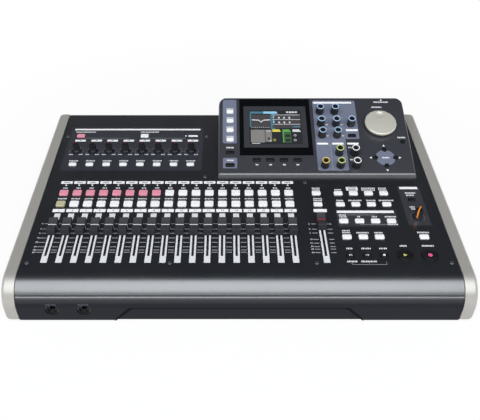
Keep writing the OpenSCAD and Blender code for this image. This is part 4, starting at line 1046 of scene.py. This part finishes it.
class RECORDER_OT_jog(Operator):
    """Turns the jog wheel: a crowned disc on a dark foot, pressed in at the finger dimple"""

    bl_idname = "recorder.jog"
    bl_label = "Jog wheel"

    CROWN = np.array([(20.2, 3.4), (20.9, 3.6), (21.2, 4.1), (21.2, 5.3), (21.05, 6), (20.6, 6.6), (20, 6.95)])
    TOP_R, DOME = 19.4, 0.8
    PRESS_Y, PRESS_R, PRESS = 12.2, 6.25, 1.5
    TURNS, STEM = 144, 7.5

    def execute(self, context):
        flat = np.linspace(self.TOP_R, 0.3, 40)
        r = np.r_[self.CROWN[:, 0], flat][:, None]
        z = np.r_[self.CROWN[:, 1], self.CROWN[-1, 1] + self.DOME * (1 - (flat / self.TOP_R) ** 2)][:, None]
        t = np.arange(self.TURNS) * 2 * np.pi / self.TURNS
        x, y = r * np.cos(t), r * np.sin(t)
        away = np.hypot(x, y - self.PRESS_Y) / self.PRESS_R
        press = self.PRESS * np.clip(1 - away ** 2, 0, None) * (r < self.CROWN[-1, 0])
        wheel = skin(np.stack([x, y, z - press], -1))
        foot = lathe([(19.4, 0.5), (20.3, 0.9), (20.4, 3.3), (20, 3.7), (17, 3.7)], 96)
        parts = [(wheel, "jog_paint"), (foot, "jog_side"), stem(self.STEM)]
        control("jog_wheel", "_disc", POD, parts, JOG)
        return {"FINISHED"}


class RECORDER_OT_display(Operator):
    """Lays out a plain level page on the display"""

    bl_idname = "recorder.display"
    bl_label = "Display"

    FRAME_BOX = (34.0, 119.0, 43.15, 115.35)
    ACTIVE = (41.2, 112.2, 48.6, 108.0)
    HEADS = {"screen_yellow": 0.44, "screen_green": 0.63, "screen_pale": 0.82}
    DIALS = [(0.475, 0.12, "screen_yellow"), (0.86, 0.12, "screen_pale"), (0.86, 0.26, "screen_pale")]

    def execute(self, context):
        u0, u1, v0, v1 = self.ACTIVE
        wide, tall = u1 - u0, v1 - v0

        def box(x0, x1, y0, y1):
            """A field given by its share of the active area."""
            return (u0 + wide * (x0 + x1) / 2, v0 + tall * (y0 + y1) / 2, wide * (x1 - x0), tall * (y1 - y0))

        def slant(x0, x1, y0, y1, lean, high):
            """A bar whose upper right corner is cut back by a lean."""
            share = np.array([(x0, y0), (x1, y0), (x1 - lean, y1), (x0, y1)])
            return prism(np.array([u0, v0]) + share * (wide, tall), SUNK, high)

        f0, f1, g0, g1 = self.FRAME_BOX
        rim = plates(spans([(f0, f1, (g0 + g1) / 2, g1 - g0)]), -0.05, 0.01)
        lanes = [box(0.45, 0.98, y, y + 0.12) for y in (0.73, 0.59, 0.47)]
        panes = [box(x, x + 0.16, 0.05, 0.36) for x in self.HEADS.values()]
        layers = [("dark", 0.02, [box(0, 1, 0, 1)]),
                  ("teal", 0.03, [box(0.015, 0.04, 0.5, 0.9), box(0.415, 0.5, 0.44, 0.9), box(0.02, 0.28, 0.9, 0.965)]),
                  ("slate", 0.04, [box(0.04, 0.415, 0.47, 0.87)] + lanes),
                  ("grey", 0.04, [box(0.03, 0.295, 0.05, 0.42), box(0.305, 0.425, 0.07, 0.42)]),
                  ("dark", 0.05, panes + [box(0.345, 0.385, 0.13, 0.19)]),
                  ("blue", 0.05, [box(0.46, 0.485, y, y + 0.07) for y in (0.76, 0.62)]),
                  ("teal", 0.05, [box(0.83, 0.97, 0.49, 0.53)]), ("moss", 0.06, [box(0.63, 0.79, 0.05, 0.36)]),
                  ("green", 0.07, [box(0.63, 0.65, 0.05, 0.36)]),
                  ("dark", 0.07, [box(0.68, 0.77, y, y + 0.07) for y in (0.08, 0.21)])]
        x = np.linspace(-1, 1, 31)
        curve = 0.7 + 0.012 * np.abs(x) - 0.05 * np.exp(-(x / 0.16) ** 2)
        pale = [box(0.225 + 0.17 * a, 0.238 + 0.17 * a, y - 0.014, y + 0.014) for a, y in zip(x, curve)]
        pale += [box(0.05 + 0.0355 * k, 0.06 + 0.0355 * k, 0.48, 0.5) for k in range(10)]
        pale += [box(0.45, 0.98, y, y + 0.012) for y in (0.855, 0.715, 0.575)]
        pale += [box(0.72 + 0.055 * k, 0.765 + 0.055 * k, 0.92, 0.965) for k in range(4)]
        pale += [box(0.56 + 0.1 * k, 0.59 + 0.1 * k, y, y + 0.05) for k in range(3) for y in (0.75, 0.61)]
        pale += [box(0.32, 0.41, 0.375, 0.39), box(0.38, 0.41, 0.09, 0.11), box(0.05, 0.2, 0.02, 0.035)]

        parts = [(rim, "display_frame")] + [(plates(rows, high=high), "screen_" + tone) for tone, high, rows in layers]
        parts += [(plates(pale, high=0.065), "screen_pale"), (slant(0.28, 0.56, 0.9, 0.965, 0.03, 0.04), "screen_blue")]
        parts += [(slant(x, x + 0.16, 0.36, 0.43, 0.035, 0.06), tone) for tone, x in self.HEADS.items()]
        for x, y, tone in self.DIALS:
            spot = [(u0 + wide * x, v0 + tall * y, 0)]
            parts += [(dots(spot, 1.8, 0.06, 24), tone), (dots(spot, 1.25, 0.07, 24), "screen_dark")]
        assemble("display_page", POD, parts, "case")
        return {"FINISHED"}


class RECORDER_OT_screws(Operator):
    """Turns the panel screws: a low domed head with its cross recess as painted shade"""

    bl_idname = "recorder.screws"
    bl_label = "Screws"

    CROSS_TURN = 24

    def execute(self, context):
        head = lathe([(2.0, -0.05), (2.1, 0.2), (1.95, 0.5), (1.4, 0.74), (0.6, 0.8)], 32)
        shank = lathe([(1.3, -6.2), (1.3, 0)], 16)
        # The cross recess is two black plates through the head: painted shade where the recess would be.
        cross = [turned(plates([(0, 0, w, l)], 0.3, 0.82), self.CROSS_TURN) for w, l in ((2.2, 0.5), (0.5, 2.2))]
        parts = [(head, "screw_metal"), (shank, "screw_metal")] + [(slot, "recess_black") for slot in cross]
        assemble("panel_screw_set", PANEL, [(repeat(shape, SCREWS), f) for shape, f in parts],
                 "case", "panel_screws")
        return {"FINISHED"}


class RECORDER_OT_stage(Operator):
    """Sets the floor, the surround, the softboxes and the camera"""

    bl_idname = "recorder.stage"
    bl_label = "Stage"

    FLOOR = 4.0
    PAPER, PAPER_SEEN = (0.3, 0.3, 0.3), (0.95, 0.95, 0.95, 1)
    SHADOW_FROM, SHADOW_TO, SHADOW_GLOW = 0.28, 0.6, 0.86
    SKY = {0.12: 1, 0.32: 0.1, 0.6: 0.04, 0.9: 0.02}
    FRONT_PLACE, FRONT_SIZE = (0, -1.2, 1.9), (3.0, 2.24)
    AIM = Vector((0, 0, 0.05))
    SOFTBOXES = {"rear softbox": ((0, 2.1, 0.5), (2.4, 0.5), 0.6), "left softbox": ((-2.2, 0.1, 0.5), (1.6, 0.6), 0.8),
                 "right softbox": ((2.2, 0.1, 0.5), (1.6, 0.6), 0.8)}

    def execute(self, context):
        stage = settings("stage")
        scene = context.scene
        scene.view_settings.view_transform = "Standard"

        mesh = bpy.data.meshes.new("floor")
        s = self.FLOOR
        mesh.from_pydata([(-s, -s, 0), (s, -s, 0), (s, s, 0), (-s, s, 0)], [], [(0, 1, 2, 3)])
        floor = bpy.data.objects.new("floor", mesh)
        scene.collection.objects.link(floor)
        mesh.materials.append(self.paper())
        self.surround(scene)

        self.softbox("front softbox", self.FRONT_PLACE, self.FRONT_SIZE, stage.key_light).color = stage.key_tint
        for name, lamp in self.SOFTBOXES.items():
            self.softbox(name, *lamp)

        lens = bpy.data.cameras.new("camera")
        lens.sensor_fit, lens.sensor_width, lens.lens = "HORIZONTAL", 36.0, stage.lens
        lens.shift_x = stage.shift
        camera = bpy.data.objects.new("camera", lens)
        camera.location = stage.camera_place
        camera.rotation_euler = (math.radians(90) - stage.camera_pitch, 0, 0)
        scene.collection.objects.link(camera)
        scene.camera = camera
        return {"FINISHED"}

    def paper(self):
        """White paper: plain white to the camera, metal and glass, less so near the object, where its shadow shows."""
        paper = Finish("white paper", self.PAPER, 0.9)
        rays = paper.node("ShaderNodeLightPath").outputs
        seen = paper.math("MAXIMUM", rays["Is Camera Ray"], rays["Is Glossy Ray"])
        seen = paper.math("MAXIMUM", seen, rays["Is Transmission Ray"])
        paper.set("Base Color", paper.mix(seen, (*self.PAPER, 1), self.PAPER_SEEN))
        away = paper.vector("LENGTH", paper.coords)
        plain = paper.node("ShaderNodeMapRange", Value=away, From_Min=self.SHADOW_FROM, From_Max=self.SHADOW_TO,
                           To_Min=self.SHADOW_GLOW, To_Max=1.0)
        glow = paper.node("ShaderNodeEmission")
        blend = paper.fed("ShaderNodeMixShader", paper.math("MULTIPLY", seen, plain.outputs[0]),
                          paper.shader.outputs[0], glow.outputs[0])
        paper.feed(paper.tree.nodes["Material Output"].inputs[0], blend.outputs[0])
        return paper.material

    def surround(self, scene):
        """A white backdrop all round, up to about 10 degrees, under a dark ceiling. The camera sees plain white."""
        scene.world = bpy.data.worlds.new("studio")
        scene.world.use_nodes = True
        sky = Wiring(scene.world.node_tree)
        light = sky.tree.nodes["Background"].inputs
        light["Color"].default_value = (1, 1, 1, 1)
        way = sky.node("ShaderNodeTexCoord").outputs["Generated"]
        ramp = sky.fed("ShaderNodeValToRGB", sky.node("ShaderNodeSeparateXYZ", Vector=way).outputs["Z"])
        stops = ramp.color_ramp.elements
        first, *between, last = self.SKY
        stops[0].position, stops[1].position = first, last
        for position in between:
            stops.new(position)
        for stop, level in zip(stops, self.SKY.values()):
            stop.color = (level, level, level, 1)
        camera_ray = sky.node("ShaderNodeLightPath").outputs["Is Camera Ray"]
        sky.feed(light["Strength"], sky.math("MAXIMUM", camera_ray, ramp.outputs["Color"]))

    def softbox(self, name, place, size, radiance):
        """An area lamp that faces the case; its power is radiance times pi times its area."""
        lamp = bpy.data.lights.new(name, "AREA")
        lamp.shape, lamp.size, lamp.size_y = "RECTANGLE", *size
        lamp.energy = radiance * math.pi * size[0] * size[1]
        made = bpy.data.objects.new(name, lamp)
        made.location = place
        made.rotation_euler = (self.AIM - Vector(place)).to_track_quat("-Z", "Y").to_euler()
        bpy.context.scene.collection.objects.link(made)
        return lamp


PIECES = (RECORDER_OT_finishes, RECORDER_OT_case, RECORDER_OT_cheeks, RECORDER_OT_seam, RECORDER_OT_panel_prints,
          RECORDER_OT_pod_prints, RECORDER_OT_keys, RECORDER_OT_faders, RECORDER_OT_knobs, RECORDER_OT_encoders,
          RECORDER_OT_jog, RECORDER_OT_display, RECORDER_OT_screws, RECORDER_OT_stage)


class RECORDER_PT_pieces(Panel):
    """Lists the pieces of the recorder"""

    bl_idname = "RECORDER_PT_pieces"
    bl_label = "Recorder"
    bl_space_type = "VIEW_3D"
    bl_region_type = "UI"
    bl_category = "Recorder"

    def draw(self, context):
        for piece in PIECES:
            self.layout.operator(piece.bl_idname)


CLASSES = tuple(SETTINGS.values()) + PIECES + (RECORDER_PT_pieces,)


def register():
    for cls in CLASSES:
        bpy.utils.register_class(cls)
    for name, group in SETTINGS.items():
        setattr(bpy.types.Scene, name, PointerProperty(type=group))


def unregister():
    for name in SETTINGS:
        delattr(bpy.types.Scene, name)
    for cls in reversed(CLASSES):
        bpy.utils.unregister_class(cls)


def main():
    register()
    for piece in PIECES:
        getattr(bpy.ops.recorder, piece.bl_idname.split(".")[1])()


if __name__ == "__main__":
    main()
